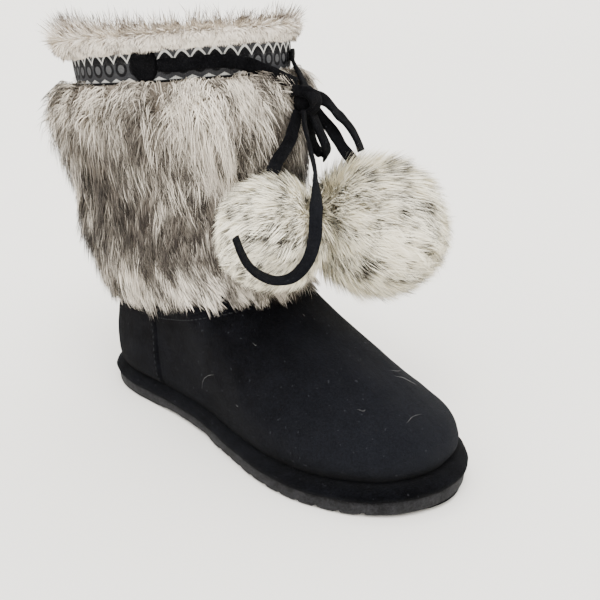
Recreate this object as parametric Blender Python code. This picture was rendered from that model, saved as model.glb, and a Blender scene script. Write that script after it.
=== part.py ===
"""A mukluk boot for the right foot: suede foot and shaft, fur sleeve and collar, woven ribbon, lace and pompoms.

Metres, +Z up, +X towards the toe and +Y towards the medial side. The origin is on the floor, under the
middle of the heel seat.
"""

import math
from typing import NamedTuple

import bmesh
import bpy
import numpy as np
from mathutils import Matrix, Vector

# Overall sizes of the foot
SOLE_LENGTH = 0.275
BALL_WIDTH = 0.114
HEEL_SEAT = 0.045  # from the heel's rear end to the origin
TOE_SWING = 0.004  # how far the toe turns to the medial side
INSTEP_HEIGHT = 0.100  # from the sole's top to the bend of the instep
UPPER_HEIGHT = 0.211  # from the sole's top to the back of the collar's edge
COLLAR_LENGTH = 0.146
COLLAR_WIDTH = 0.113
COLLAR_SWAY = -0.006  # sideways lean of the collar, to the lateral side

# Sole
OUTSOLE_HEIGHT = 0.0085
OUTSOLE_EDGE = 0.002  # round of its lower edge
TOE_SPRING = 0.003
WAIST_ARCH = 0.0014
RAND_HEIGHT = 0.0068
RAND_BULGE = 0.0018
RAND_LIP = 0.0055  # how far its top rolls in
GROOVE_WIDTH = 0.0026
GROOVE_DEPTH = 0.0014
GROOVE_PITCH = 0.0115
HEEL_GROOVE_INSET = 0.010

# Upper and what is sewn to it
CLEARANCE = 0.0003
UPPER_WALL = 0.003
INSOLE_THICKNESS = 0.005
INSOLE_EASE = 0.0010  # room between its edge and the wall
COUNTER_THICKNESS = 0.0012
COUNTER_REACH = 0.0795  # from the heel's rear end to the foot of its front edge
COUNTER_TOP_REACH = 0.0725  # the same at its top
COUNTER_RISE = 0.068
SEAM_WIDTH = 0.0035
SEAM_THICKNESS = 0.0012
SEAM_GAP = 0.0016  # between the counter's front edge and the seam's end
RIBBON_HEIGHT = 0.0195
RIBBON_THICKNESS = 0.0012
RIBBON_BELOW_EDGE = 0.0257  # from the collar's edge down to the ribbon's lower edge

# Fur
SLEEVE_EASE = 0.0015  # room under the sleeve's hem for the counter and the seam
SLEEVE_BACK = 0.0235  # depth of the pile behind the leg
SLEEVE_FRONT = 0.0050
SLEEVE_LOCK = 0.0035  # how far a lock's tip stands out
SLEEVE_LOCKS = 16
HEM_RISE = 0.059  # of the sleeve's lower edge over the sole's top, at the back
HEM_FRONT_RISE = 0.067
HEM_TIP = 0.005
EDGE_FUR_BACK = 0.0115
EDGE_FUR_FRONT = 0.0060
EDGE_FUR_TOP = 0.0050
EDGE_FUR_INSIDE = 0.0080
EDGE_FUR_TURN = 0.0150  # how far it reaches down inside
EDGE_LOCK = 0.0015

# Lace and pompoms
TAB_WIDTH = 0.0165
TAB_THICKNESS = 0.0020
TAB_PLACE = 0.104  # from the heel's rear end
LACE_WIDTH = 0.0070
LACE_THICKNESS = 0.0022
KNOT_CENTRE = Vector((0.1135, 0.0115, 0.2015))
KNOT_SIZE = Vector((0.0125, 0.0145, 0.0170))
POMPOM_LOCK = 0.09  # share of the radius by which the tips stand out

# How finely the curved surfaces are cut
AROUND = 40
LOCK_COLUMNS = 4
LOCK_ROWS = 3
LOCK_BANDS = 4
POMPOM_COLUMNS = 20
POMPOM_ROWS = 13

SOLE_TOP = OUTSOLE_HEIGHT + CLEARANCE + RAND_HEIGHT
UPPER_FOOT = SOLE_TOP + CLEARANCE


class Outline(NamedTuple):
    """Half widths of the sole over those of an ellipse as long and as wide."""

    along: float
    lateral: float
    medial: float


SOLE_OUTLINE = (
    Outline(0.00, 1.22, 1.18),
    Outline(0.08, 1.14, 1.10),
    Outline(0.16, 1.00, 0.97),
    Outline(0.30, 0.80, 0.74),
    Outline(0.45, 0.79, 0.64),
    Outline(0.58, 0.93, 0.77),
    Outline(0.70, 1.10, 1.00),
    Outline(0.80, 1.21, 1.17),
    Outline(0.88, 1.27, 1.27),
    Outline(0.94, 1.33, 1.30),
    Outline(1.00, 1.34, 1.30),
)


class FootSection(NamedTuple):
    """A loop of the foot. Rises are shares of the instep's, lengths of the sole's, width of the ball's.

    Waist and toe say how much of the sole outline's form is left there: 1 is all of it, 0 an ellipse.
    """

    rise: float
    front_rise: float
    back: float
    front: float
    width: float
    waist: float
    toe: float


FOOT_SECTIONS = (
    FootSection(0.00, 0.000, 0.022, 0.972, 0.920, 1.00, 1.00),
    FootSection(0.07, 0.070, 0.015, 0.981, 0.950, 1.00, 1.00),
    FootSection(0.15, 0.148, 0.011, 0.975, 0.955, 1.00, 0.86),
    FootSection(0.23, 0.215, 0.009, 0.950, 0.935, 0.92, 0.58),
    FootSection(0.30, 0.270, 0.008, 0.915, 0.900, 0.84, 0.38),
    FootSection(0.36, 0.328, 0.009, 0.872, 0.870, 0.74, 0.27),
    FootSection(0.42, 0.402, 0.011, 0.822, 0.840, 0.62, 0.20),
    FootSection(0.48, 0.492, 0.014, 0.748, 0.815, 0.50, 0.12),
    FootSection(0.55, 0.605, 0.017, 0.660, 0.800, 0.38, 0.05),
    FootSection(0.63, 0.740, 0.019, 0.578, 0.790, 0.24, 0.00),
    FootSection(0.74, 0.920, 0.020, 0.527, 0.790, 0.10, 0.00),
    FootSection(0.90, 1.130, 0.019, 0.507, 0.820, 0.00, 0.00),
)


class ShaftSection(NamedTuple):
    """A loop of the shaft. Rises are shares of the upper's height, lengths and width of the collar's."""

    rise: float
    front_rise: float
    back: float
    front: float
    width: float


SHAFT_SECTIONS = (
    ShaftSection(0.58, 0.665, 0.030, 0.955, 0.87),
    ShaftSection(0.72, 0.798, 0.012, 0.960, 0.93),
    ShaftSection(0.86, 0.928, -0.008, 0.967, 0.98),
    ShaftSection(1.00, 1.062, -0.028, 0.972, 1.00),
)


class Section(NamedTuple):
    """A loop of the upper in metres: heights over the sole's top, places from the heel's rear end."""

    rise: float
    front_rise: float
    back: float
    front: float
    width: float
    waist: float
    toe: float
    sway: float


def upper_sections():
    """The rows of the foot and of the shaft, as lengths."""
    rows = [
        Section(
            row.rise * INSTEP_HEIGHT,
            row.front_rise * INSTEP_HEIGHT,
            row.back * SOLE_LENGTH,
            row.front * SOLE_LENGTH,
            row.width * BALL_WIDTH,
            row.waist,
            row.toe,
            0.0,
        )
        for row in FOOT_SECTIONS
    ]
    ankle = SHAFT_SECTIONS[0].rise
    for row in SHAFT_SECTIONS:
        rows.append(
            Section(
                row.rise * UPPER_HEIGHT,
                row.front_rise * UPPER_HEIGHT,
                row.back * COLLAR_LENGTH,
                row.front * COLLAR_LENGTH,
                row.width * COLLAR_WIDTH,
                0.0,
                0.0,
                COLLAR_SWAY * (row.rise - ankle) / (1 - ankle),
            )
        )
    return rows


def smooth(table, column, at):
    """A column of a table, on a smooth curve through its rows, at places along the first column."""
    places = np.array([row[0] for row in table])
    values = np.array([getattr(row, column) for row in table])
    slopes = np.gradient(values, places)
    at = np.clip(at, places[0], places[-1])
    low = np.clip(np.searchsorted(places, at, side="right") - 1, 0, len(places) - 2)
    step = places[low + 1] - places[low]
    t = (at - places[low]) / step
    return (
        values[low] * (1 + 2 * t) * (1 - t) ** 2
        + values[low + 1] * t * t * (3 - 2 * t)
        + slopes[low] * step * t * (1 - t) ** 2
        - slopes[low + 1] * step * t * t * (1 - t)
    )


def ease(value):
    """From 0 to 1 with level ends."""
    value = np.clip(value, 0.0, 1.0)
    return value * value * (3 - 2 * value)


def turns(count):
    """Places around a loop: 0 is the back, a quarter the lateral side, a half the front."""
    return np.arange(count) / count


def fullness(along, around):
    """The foot outline's half width over an ellipse's, on the side where the place around lies."""
    lateral = smooth(SOLE_OUTLINE, "lateral", along)
    medial = smooth(SOLE_OUTLINE, "medial", along)
    return np.where(around % 1.0 < 0.5, lateral, medial)


def sole_loop(inset=0.0, count=AROUND):
    """The sole's outline as points, drawn in by inset. Heights are left at zero."""
    around = turns(count)
    along = (1 - np.cos(2 * math.pi * around)) / 2
    half = BALL_WIDTH / 2 * np.abs(np.sin(2 * math.pi * around)) * fullness(along, around)
    side = np.where(around < 0.5, -1.0, 1.0)
    loop = np.stack(
        [
            along * SOLE_LENGTH - HEEL_SEAT,
            TOE_SWING * along**2 + side * half,
            np.zeros(count),
        ],
        axis=1,
    )
    tangent = np.roll(loop, -1, axis=0) - np.roll(loop, 1, axis=0)
    outward = np.stack([tangent[:, 1], -tangent[:, 0], np.zeros(count)], axis=1)
    outward /= np.linalg.norm(outward, axis=1)[:, None]
    return loop - outward * inset


def spring(x):
    """How far the sole has risen from the floor towards the toe."""
    along = (x + HEEL_SEAT) / SOLE_LENGTH
    start = 0.78
    return TOE_SPRING * np.clip((along - start) / (1 - start), 0, None) ** 2


def waist(x):
    """How far the underside arches between the heel and the ball."""
    along = (x + HEEL_SEAT) / SOLE_LENGTH
    return WAIST_ARCH * ease((along - 0.27) / 0.04) * (1 - ease((along - 0.46) / 0.04))


def raised(loop, height):
    """The loop at a height over the floor, bent up with the toe."""
    return loop + np.stack([loop[:, 0] * 0, loop[:, 0] * 0, height + spring(loop[:, 0])], axis=1)


SECTIONS = upper_sections()


def upper_surface(around, rise):
    """Points on the upper's outside. Both arguments are arrays of one shape."""
    along = (1 - np.cos(2 * math.pi * around)) / 2
    back, front = (smooth(SECTIONS, name, rise) for name in ("back", "front"))
    low = smooth(SECTIONS, "rise", rise)
    high = smooth(SECTIONS, "front_rise", rise)
    waist_left, toe_left = (smooth(SECTIONS, name, rise) for name in ("waist", "toe"))
    left = waist_left + (toe_left - waist_left) * ease((along - 0.5) / 0.3)
    shape = 1 + (fullness(along, around) - 1) * left
    half = smooth(SECTIONS, "width", rise) / 2 * np.abs(np.sin(2 * math.pi * around)) * shape
    side = np.where(around % 1.0 < 0.5, -1.0, 1.0)
    x = back + (front - back) * along - HEEL_SEAT
    y = TOE_SWING * along**2 * waist_left + smooth(SECTIONS, "sway", rise) + side * half
    z = UPPER_FOOT + low + (high - low) * along + spring(x)
    return np.stack([x, y, z], axis=-1)


def outward(around, rise):
    """The way out of the upper's outside, at right angles to it."""
    nudge = 1e-4
    top = SECTIONS[-1].rise
    across = upper_surface(around + nudge, rise) - upper_surface(around - nudge, rise)
    up = upper_surface(around, np.minimum(rise + nudge, top)) - upper_surface(
        around, np.maximum(np.minimum(rise, top) - nudge, 0)
    )
    out = np.cross(across, up)
    return out / np.linalg.norm(out, axis=-1)[..., None]


def skin(around, rise, out):
    """Points that lie out from the upper's outside."""
    around, rise, out = np.broadcast_arrays(around, rise, out)
    return upper_surface(around, rise) + outward(around, rise) * out[..., None]


def over_facets(around, rise, out):
    """Points out from the upper's faceted side: straight between the rows of its table, and straight on
    past the collar's edge."""
    around, rise, out = np.broadcast_arrays(around, rise, out)
    rows = np.array([row.rise for row in SECTIONS])
    low = np.clip(np.searchsorted(rows, rise, side="right") - 1, 0, len(rows) - 2)
    share = ((rise - rows[low]) / (rows[low + 1] - rows[low]))[..., None]
    return skin(around, rows[low], out) * (1 - share) + skin(around, rows[low + 1], out) * share


def material(name, colour, roughness, metallic=0.0):
    made = bpy.data.materials.new(name)
    made.use_nodes = True
    shader = made.node_tree.nodes["Principled BSDF"]
    shader.inputs["Base Color"].default_value = (*colour, 1.0)
    shader.inputs["Roughness"].default_value = roughness
    shader.inputs["Metallic"].default_value = metallic
    made.diffuse_color = (*colour, 1.0)
    return made


def node(name, mesh, finish):
    """Ends a bmesh as a named object with its material."""
    bmesh.ops.recalc_face_normals(mesh, faces=mesh.faces)
    data = bpy.data.meshes.new(name)
    mesh.to_mesh(data)
    mesh.free()
    made = bpy.data.objects.new(name, data)
    bpy.context.scene.collection.objects.link(made)
    data.materials.append(finish)
    data.shade_smooth()
    data.set_sharp_from_angle(angle=math.radians(40))
    return made


def hidden(name, mesh):
    """Ends a bmesh as a cutter, which isn't part of the boot."""
    bmesh.ops.recalc_face_normals(mesh, faces=mesh.faces)
    data = bpy.data.meshes.new(name)
    mesh.to_mesh(data)
    mesh.free()
    made = bpy.data.objects.new(name, data)
    bpy.context.scene.collection.objects.link(made)
    made.hide_render = True
    made.display_type = "WIRE"
    return made


def add_loop(mesh, points):
    return [mesh.verts.new(Vector(point)) for point in points]


def skin_loops(mesh, loops):
    """Triangles between loops that follow each other, all with the same diagonal, so that one sheet lies
    evenly over another."""
    for low, high in zip(loops, loops[1:]):
        count = len(low)
        for i in range(count):
            j = (i + 1) % count
            mesh.faces.new((low[i], low[j], high[j]))
            mesh.faces.new((low[i], high[j], high[i]))


def hollow(mesh, outside, inside):
    """A wall between two stacks of loops, open above and below."""
    skin_loops(mesh, outside)
    skin_loops(mesh, inside)
    for end in (0, -1):
        skin_loops(mesh, [outside[end], inside[end]])


def cap_across(mesh, loop):
    """Closes a foot-shaped loop with strips from its lateral to its medial side."""
    count = len(loop)
    half = count // 2
    mesh.faces.new((loop[0], loop[1], loop[count - 1]))
    mesh.faces.new((loop[half], loop[half + 1], loop[half - 1]))
    for i in range(1, half - 1):
        mesh.faces.new((loop[i], loop[i + 1], loop[count - i - 1], loop[count - i]))


def outsole(finish):
    """The rubber unit: a foot-shaped slab with a rounded lower edge, an arched waist and grooves."""
    mesh = bmesh.new()
    under = sole_loop(OUTSOLE_EDGE)
    under = raised(under, waist(under[:, 0]))
    side = sole_loop()
    loops = [
        add_loop(mesh, under),
        add_loop(mesh, raised(side, OUTSOLE_EDGE + waist(side[:, 0]))),
        add_loop(mesh, raised(side, OUTSOLE_HEIGHT)),
    ]
    skin_loops(mesh, loops)
    cap_across(mesh, loops[0])
    cap_across(mesh, loops[-1])
    made = node("outsole", mesh, finish)
    cutter = groove_cutter()
    boolean(made, "DIFFERENCE", cutter)
    return made


def groove_cutter():
    """Bars across the tread. Those of the forefoot run out at its edge, those of the heel stop inside it."""
    mesh = bmesh.new()
    forefoot = np.arange(0.53, 0.93, GROOVE_PITCH / SOLE_LENGTH)
    heel = np.arange(0.06, 0.25, GROOVE_PITCH / SOLE_LENGTH)
    for along in (*heel, *forefoot):
        x = along * SOLE_LENGTH - HEEL_SEAT
        half = BALL_WIDTH
        if along < 0.3:
            round_end = 2 * math.sqrt(along * (1 - along)) * smooth(SOLE_OUTLINE, "lateral", along)
            half = BALL_WIDTH / 2 * round_end - HEEL_GROOVE_INSET
        size = (GROOVE_WIDTH, 2 * half, 4 * GROOVE_DEPTH)
        middle = GROOVE_DEPTH - size[2] / 2 + float(spring(x))
        bar = bmesh.ops.create_cube(mesh, size=1.0)["verts"]
        bmesh.ops.scale(mesh, vec=size, verts=bar)
        bmesh.ops.translate(mesh, vec=(x, 0, middle), verts=bar)
    return hidden("groove_cutter", mesh)


def midsole(finish):
    """The slab between the rubber and the upper, wrapped in suede, with a half-round side."""
    mesh = bmesh.new()
    foot = OUTSOLE_HEIGHT + CLEARANCE
    loops = [add_loop(mesh, raised(sole_loop(0.0), foot))]
    steps = 4
    for i in range(1, steps + 1):
        turn = math.pi * i / (steps + 1)
        bulge = RAND_BULGE * math.sin(turn) - RAND_LIP * ease((turn / math.pi - 0.4) / 0.6)
        height = foot + RAND_HEIGHT * (1 - math.cos(turn)) / 2
        loops.append(add_loop(mesh, raised(sole_loop(-bulge), height)))
    loops.append(add_loop(mesh, raised(sole_loop(RAND_LIP), foot + RAND_HEIGHT)))
    skin_loops(mesh, loops)
    cap_across(mesh, loops[0])
    cap_across(mesh, loops[-1])
    return node("midsole", mesh, finish)


def upper(finish):
    """The foot and shaft as one hollow wall, open below and at the collar."""
    mesh = bmesh.new()
    around = turns(AROUND)
    rises = [row.rise for row in SECTIONS]
    outside = [add_loop(mesh, skin(around, rise, 0.0)) for rise in rises]
    inside = [add_loop(mesh, skin(around, rise, -UPPER_WALL)) for rise in rises]
    hollow(mesh, outside, inside)
    return node("upper", mesh, finish)


def insole(finish):
    """A flat footbed inside the upper's lower edge."""
    mesh = bmesh.new()
    around = turns(AROUND)
    loops = []
    for height in (0.0, INSOLE_THICKNESS):
        loop = skin(around, height, -UPPER_WALL - INSOLE_EASE)
        loop[:, 2] = UPPER_FOOT + height + spring(loop[:, 0])
        loops.append(add_loop(mesh, loop))
    skin_loops(mesh, loops)
    cap_across(mesh, loops[0])
    cap_across(mesh, loops[-1])
    return node("insole", mesh, finish)


def shell(inner, outer, low, high):
    """A closed ring between two offsets of the upper, on the upper's own columns and rows."""
    mesh = bmesh.new()
    around = turns(AROUND)
    rises = [low, *(row.rise for row in SECTIONS if low < row.rise < high), high]
    inside = [add_loop(mesh, over_facets(around, rise, inner)) for rise in rises]
    outside = [add_loop(mesh, over_facets(around, rise, outer)) for rise in rises]
    hollow(mesh, outside, inside)
    return mesh


def side_prism(name, outline):
    """A cutter as wide as the whole boot, with an outline in the XZ plane."""
    mesh = bmesh.new()
    ends = [[mesh.verts.new((x, y, z)) for x, z in outline] for y in (-BALL_WIDTH, BALL_WIDTH)]
    mesh.faces.new(ends[0])
    mesh.faces.new(ends[1])
    skin_loops(mesh, ends)
    bmesh.ops.recalc_face_normals(mesh, faces=mesh.faces)
    return hidden(name, mesh)


def boolean(target, operation, tool):
    cut = target.modifiers.new(tool.name, "BOOLEAN")
    cut.operation = operation
    cut.object = tool


def counter_front(rise):
    """The counter's front edge at a height over the upper's foot."""
    return COUNTER_REACH - HEEL_SEAT - (COUNTER_REACH - COUNTER_TOP_REACH) * rise / COUNTER_RISE


def heel_counter(finish):
    """The back panel, laid over the upper from one side seam to the other."""
    mesh = shell(CLEARANCE, CLEARANCE + COUNTER_THICKNESS, 0.0, COUNTER_RISE)
    made = node("heel_counter", mesh, finish)
    foot, head = -COUNTER_RISE, 2 * COUNTER_RISE
    outline = [
        (-SOLE_LENGTH, UPPER_FOOT + foot),
        (counter_front(foot), UPPER_FOOT + foot),
        (counter_front(head), UPPER_FOOT + head),
        (-SOLE_LENGTH, UPPER_FOOT + head),
    ]
    boolean(made, "INTERSECT", side_prism("counter_cutter", outline))
    return made


class SeamPoint(NamedTuple):
    """The vamp's top seam in side view, in shares of the sole's length and of the instep's height."""

    along: float
    rise: float


SEAM_START = 0.52  # share of the instep's height where it leaves the counter
VAMP_SEAM = (
    SeamPoint(0.340, 0.575),
    SeamPoint(0.400, 0.630),
    SeamPoint(0.460, 0.690),
    SeamPoint(0.530, 0.760),
    SeamPoint(0.620, 0.850),
)


def vamp_seam(finish):
    """A raised strip where the vamp meets the shaft, from one side of the counter round to the other."""
    mesh = shell(CLEARANCE, CLEARANCE + SEAM_THICKNESS, 0.0, HEM_RISE + HEM_TIP + 0.02)
    made = node("vamp_seam", mesh, finish)
    start = SEAM_START * INSTEP_HEIGHT
    line = [(counter_front(start) + SEAM_GAP, UPPER_FOOT + start)]
    line += [(row.along * SOLE_LENGTH - HEEL_SEAT, UPPER_FOOT + row.rise * INSTEP_HEIGHT) for row in VAMP_SEAM]
    half = SEAM_WIDTH / 2
    outline = [(x, z - half) for x, z in line] + [(x, z + half) for x, z in reversed(line)]
    boolean(made, "INTERSECT", side_prism("seam_cutter", outline))
    return made


COLLAR_EDGE = SECTIONS[-1].rise
RIBBON_FOOT = COLLAR_EDGE - RIBBON_BELOW_EDGE
RIBBON_TOP = RIBBON_FOOT + RIBBON_HEIGHT
RIBBON_OUT = CLEARANCE + RIBBON_THICKNESS


def ribbon(finish):
    """The woven band round the top of the shaft."""
    return node("ribbon", shell(CLEARANCE, RIBBON_OUT, RIBBON_FOOT, RIBBON_TOP), finish)


class PileRow(NamedTuple):
    """The sleeve's depth as a share of the pile's, at a share of its height."""

    height: float
    depth: float


SLEEVE_PILE = (
    PileRow(0.00, 0.12),
    PileRow(0.12, 0.36),
    PileRow(0.35, 0.66),
    PileRow(0.62, 0.86),
    PileRow(0.84, 1.00),
    PileRow(0.94, 0.90),
    PileRow(1.00, 0.50),
)


def backward(around):
    """1 behind the leg and 0 in front of it."""
    return (1 + np.cos(2 * math.pi * around)) / 2


def unevenness(*places):
    """A smooth irregular value between -1 and 1."""
    a, b = (np.asarray(place, dtype=float) for place in places)
    return np.sin(5.1 * a + 1.7 * b) * np.sin(2.3 * a - 4.3 * b + 0.8)


def fur_shaft(finish):
    """The fur sleeve, with rows of locks that hang over each other and a ragged hem."""
    mesh = bmesh.new()
    columns = SLEEVE_LOCKS * LOCK_COLUMNS
    around = turns(columns)
    head = RIBBON_FOOT - CLEARANCE
    rows = LOCK_BANDS * LOCK_ROWS
    outside = []
    hem = HEM_RISE + (HEM_FRONT_RISE - HEM_RISE) * (1 - backward(around))
    for row in range(rows + 1):
        height = row / rows
        band, step = divmod(rows - row, LOCK_ROWS)
        shift = (band % 2) * LOCK_COLUMNS // 2
        across = ((np.arange(columns) + shift) % LOCK_COLUMNS) / LOCK_COLUMNS
        tongue = np.sin(math.pi * across)
        down = 1.0 if step == 0 and band > 0 else step / LOCK_ROWS
        depth = SLEEVE_FRONT + (SLEEVE_BACK - SLEEVE_FRONT) * backward(around)
        depth = depth * smooth(SLEEVE_PILE, "depth", height)
        if 0 < row < rows:
            lock = unevenness(around * 40, row) * 0.4 + 1
            depth = depth + SLEEVE_LOCK * (tongue * down - 0.5) * lock
        rise = hem + (head - hem) * height
        if row == 0:
            rise = rise - HEM_TIP * (tongue - 0.5) * (1 + 0.5 * unevenness(around * 60, 1))
        outside.append(over_facets(around, rise, CLEARANCE + SLEEVE_EASE + depth))
    foot = HEM_FRONT_RISE + HEM_TIP
    inside = []
    for rise in [foot, *(row.rise for row in SECTIONS if foot < row.rise < head), head]:
        ease_left = SLEEVE_EASE * (1 - ease((rise - COUNTER_RISE) / (head - COUNTER_RISE)))
        inside.append(over_facets(around, rise, CLEARANCE + ease_left))
    hollow(mesh, [add_loop(mesh, loop) for loop in outside], [add_loop(mesh, loop) for loop in inside])
    return node("fur_shaft", mesh, finish)


class EdgePoint(NamedTuple):
    """The collar fur's section: out from the upper in shares of its depth, up in shares of its height."""

    out: float
    up: float


EDGE_OUTSIDE = (
    EdgePoint(0.55, 0.00),
    EdgePoint(0.95, 0.30),
    EdgePoint(1.00, 0.62),
    EdgePoint(0.72, 0.90),
)
EDGE_INSIDE = (
    EdgePoint(0.70, 0.92),
    EdgePoint(1.00, 0.60),
    EdgePoint(0.85, 0.25),
    EdgePoint(0.35, 0.00),
)


def fur_collar(finish):
    """The fur round the collar's edge: a ring that stands over the edge and is turned in."""
    mesh = bmesh.new()
    around = turns(AROUND)
    foot = RIBBON_TOP + CLEARANCE
    top = COLLAR_EDGE + EDGE_FUR_TOP
    turn_foot = COLLAR_EDGE - EDGE_FUR_TURN
    depth = EDGE_FUR_FRONT + (EDGE_FUR_BACK - EDGE_FUR_FRONT) * backward(around)
    lock = EDGE_LOCK * np.where(np.arange(AROUND) % 2 == 0, 1, -1)
    section = [(np.full(AROUND, CLEARANCE), foot)]
    for i, point in enumerate(EDGE_OUTSIDE):
        uneven = lock * (0 if i == 0 else (-1) ** i)
        section.append((CLEARANCE + point.out * depth + uneven, foot + point.up * (top - foot)))
    section.append((np.full(AROUND, -UPPER_WALL / 2), top + lock))
    for i, point in enumerate(EDGE_INSIDE):
        uneven = lock * (-1) ** i / 2
        out = -UPPER_WALL - CLEARANCE - point.out * EDGE_FUR_INSIDE + uneven
        section.append((out, turn_foot + point.up * (top - turn_foot)))
    section.append((np.full(AROUND, -UPPER_WALL - CLEARANCE), turn_foot))
    section.append((np.full(AROUND, -UPPER_WALL - CLEARANCE), COLLAR_EDGE + CLEARANCE))
    section.append((np.full(AROUND, CLEARANCE), COLLAR_EDGE + CLEARANCE))
    loops = [add_loop(mesh, over_facets(around, rise, out)) for out, rise in section]
    skin_loops(mesh, loops + loops[:1])
    return node("fur_collar", mesh, finish)


def lace_tab(name, side, finish):
    """A suede patch on the ribbon, from under which the lace comes. Side is -1 lateral and 1 medial."""
    out = RIBBON_OUT + CLEARANCE
    mesh = shell(out, out + TAB_THICKNESS, RIBBON_FOOT + CLEARANCE, RIBBON_TOP - CLEARANCE)
    made = node(name, mesh, finish)
    middle = (RIBBON_FOOT + RIBBON_TOP) / 2
    back, front = (float(smooth(SECTIONS, column, middle)) for column in ("back", "front"))
    around = math.acos(1 - 2 * (TAB_PLACE - back) / (front - back)) / (2 * math.pi)
    centre = over_facets(-side * around, middle, 0.0)
    cutter = bmesh.new()
    bmesh.ops.create_cone(
        cutter, cap_ends=True, segments=14, radius1=TAB_WIDTH / 2, radius2=TAB_WIDTH / 2, depth=BALL_WIDTH / 2
    )
    bmesh.ops.rotate(cutter, matrix=Matrix.Rotation(math.pi / 2, 3, "X"), verts=cutter.verts)
    bmesh.ops.scale(cutter, vec=(1, 1, RIBBON_HEIGHT / TAB_WIDTH), verts=cutter.verts)
    bmesh.ops.translate(cutter, vec=Vector(centre), verts=cutter.verts)
    boolean(made, "INTERSECT", hidden(f"{name}_cutter", cutter))
    return made


class Place(NamedTuple):
    """A point on a lace's route, in metres, and how far its face is turned about it, in degrees."""

    x: float
    y: float
    z: float
    turn: float = 0.0


FREE_END_LONG = (
    Place(0.1178, 0.0060, 0.1960, 0),
    Place(0.1200, 0.0040, 0.1900, 0),
    Place(0.1230, 0.0030, 0.1835, 0),
    Place(0.1280, 0.0000, 0.1785, 10),
    Place(0.1345, -0.0045, 0.1740, 35),
    Place(0.1410, -0.0095, 0.1700, 45),
    Place(0.1475, -0.0155, 0.1660, 25),
    Place(0.1530, -0.0205, 0.1620, 5),
    Place(0.1575, -0.0255, 0.1570, 0),
    Place(0.1608, -0.0293, 0.1503, 0),
    Place(0.1624, -0.0314, 0.1431, 5),
    Place(0.1621, -0.0331, 0.1362, 15),
    Place(0.1606, -0.0351, 0.1297, 30),
    Place(0.1584, -0.0384, 0.1246, 35),
    Place(0.1558, -0.0428, 0.1214, 25),
    Place(0.1530, -0.0480, 0.1210, 10),
    Place(0.1510, -0.0545, 0.1235, 0),
    Place(0.1490, -0.0600, 0.1275, 0),
    Place(0.1470, -0.0640, 0.1330, 0),
    Place(0.1455, -0.0665, 0.1395, 10),
    Place(0.1440, -0.0680, 0.1460, 20),
)
FREE_END_SHORT = (
    Place(0.1163, 0.0196, 0.2020, 0),
    Place(0.1185, 0.0225, 0.2000, 0),
    Place(0.1210, 0.0245, 0.1970, 0),
    Place(0.1240, 0.0260, 0.1935, 0),
    Place(0.1265, 0.0280, 0.1905, 0),
    Place(0.1290, 0.0295, 0.1875, 0),
    Place(0.1312, 0.0308, 0.1842, 0),
    Place(0.1330, 0.0318, 0.1808, 0),
    Place(0.1346, 0.0326, 0.1772, 0),
    Place(0.1360, 0.0332, 0.1733, 0),
)
BOW_LOOP = (
    Place(0.1178, 0.0130, 0.1930, 0),
    Place(0.1204, 0.0135, 0.1880, 0),
    Place(0.1224, 0.0148, 0.1830, 0),
    Place(0.1235, 0.0165, 0.1785, 0),
    Place(0.1236, 0.0183, 0.1745, 0),
    Place(0.1222, 0.0200, 0.1712, 0),
    Place(0.1195, 0.0207, 0.1700, 0),
    Place(0.1167, 0.0200, 0.1712, 0),
    Place(0.1150, 0.0183, 0.1745, 0),
    Place(0.1143, 0.0165, 0.1785, 0),
    Place(0.1140, 0.0150, 0.1830, 0),
    Place(0.1136, 0.0138, 0.1875, 0),
    Place(0.1130, 0.0128, 0.1922, 0),
)
POMPOM_CORD_LATERAL = (
    Place(0.1123, 0.0065, 0.1950, 0),
    Place(0.1138, 0.0030, 0.1895, 0),
    Place(0.1160, -0.0010, 0.1855, 0),
    Place(0.1175, -0.0040, 0.1825, 0),
    Place(0.1190, -0.0080, 0.1795, 0),
    Place(0.1210, -0.0130, 0.1770, 0),
    Place(0.1228, -0.0180, 0.1745, 0),
    Place(0.1245, -0.0225, 0.1715, 0),
    Place(0.1265, -0.0265, 0.1686, 0),
)
POMPOM_CORD_MEDIAL = (
    Place(0.1121, 0.0198, 0.1962, 0),
    Place(0.1145, 0.0230, 0.1910, 0),
    Place(0.1175, 0.0255, 0.1865, 0),
    Place(0.1205, 0.0270, 0.1825, 0),
    Place(0.1240, 0.0272, 0.1785, 0),
    Place(0.1275, 0.0270, 0.1750, 0),
    Place(0.1315, 0.0272, 0.1715, 0),
    Place(0.1350, 0.0278, 0.1680, 0),
    Place(0.1362, 0.0282, 0.1646, 0),
)


class Run(NamedTuple):
    """A point of the lace on the boot: a share of a turn, a share of the ribbon's height and how far out."""

    around: float
    height: float
    out: float


LATERAL_RUN = (
    Run(0.385, 0.44, 0.0),
    Run(0.400, 0.46, 0.0),
    Run(0.415, 0.47, 0.0),
    Run(0.430, 0.46, 0.0),
    Run(0.446, 0.43, 0.0004),
    Run(0.463, 0.35, 0.0014),
    Run(0.480, 0.22, 0.0030),
    Run(0.496, 0.06, 0.0052),
    Run(0.511, -0.10, 0.0076),
    Run(0.523, -0.21, 0.0094),
    Run(0.531, -0.28, 0.0103),
)
MEDIAL_RUN = (
    Run(0.615, 0.44, 0.0),
    Run(0.602, 0.46, 0.0),
    Run(0.590, 0.45, 0.0),
    Run(0.579, 0.40, 0.0004),
    Run(0.569, 0.30, 0.0016),
    Run(0.560, 0.15, 0.0042),
    Run(0.552, -0.08, 0.0080),
    Run(0.546, -0.30, 0.0112),
    Run(0.543, -0.44, 0.0128),
)


class Ball(NamedTuple):
    """A pompom: its middle in metres and its radius."""

    x: float
    y: float
    z: float
    radius: float


POMPOM_LATERAL = Ball(0.1300, -0.0285, 0.1375, 0.0295)
POMPOM_MEDIAL = Ball(0.1480, 0.0320, 0.1325, 0.0352)


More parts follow.
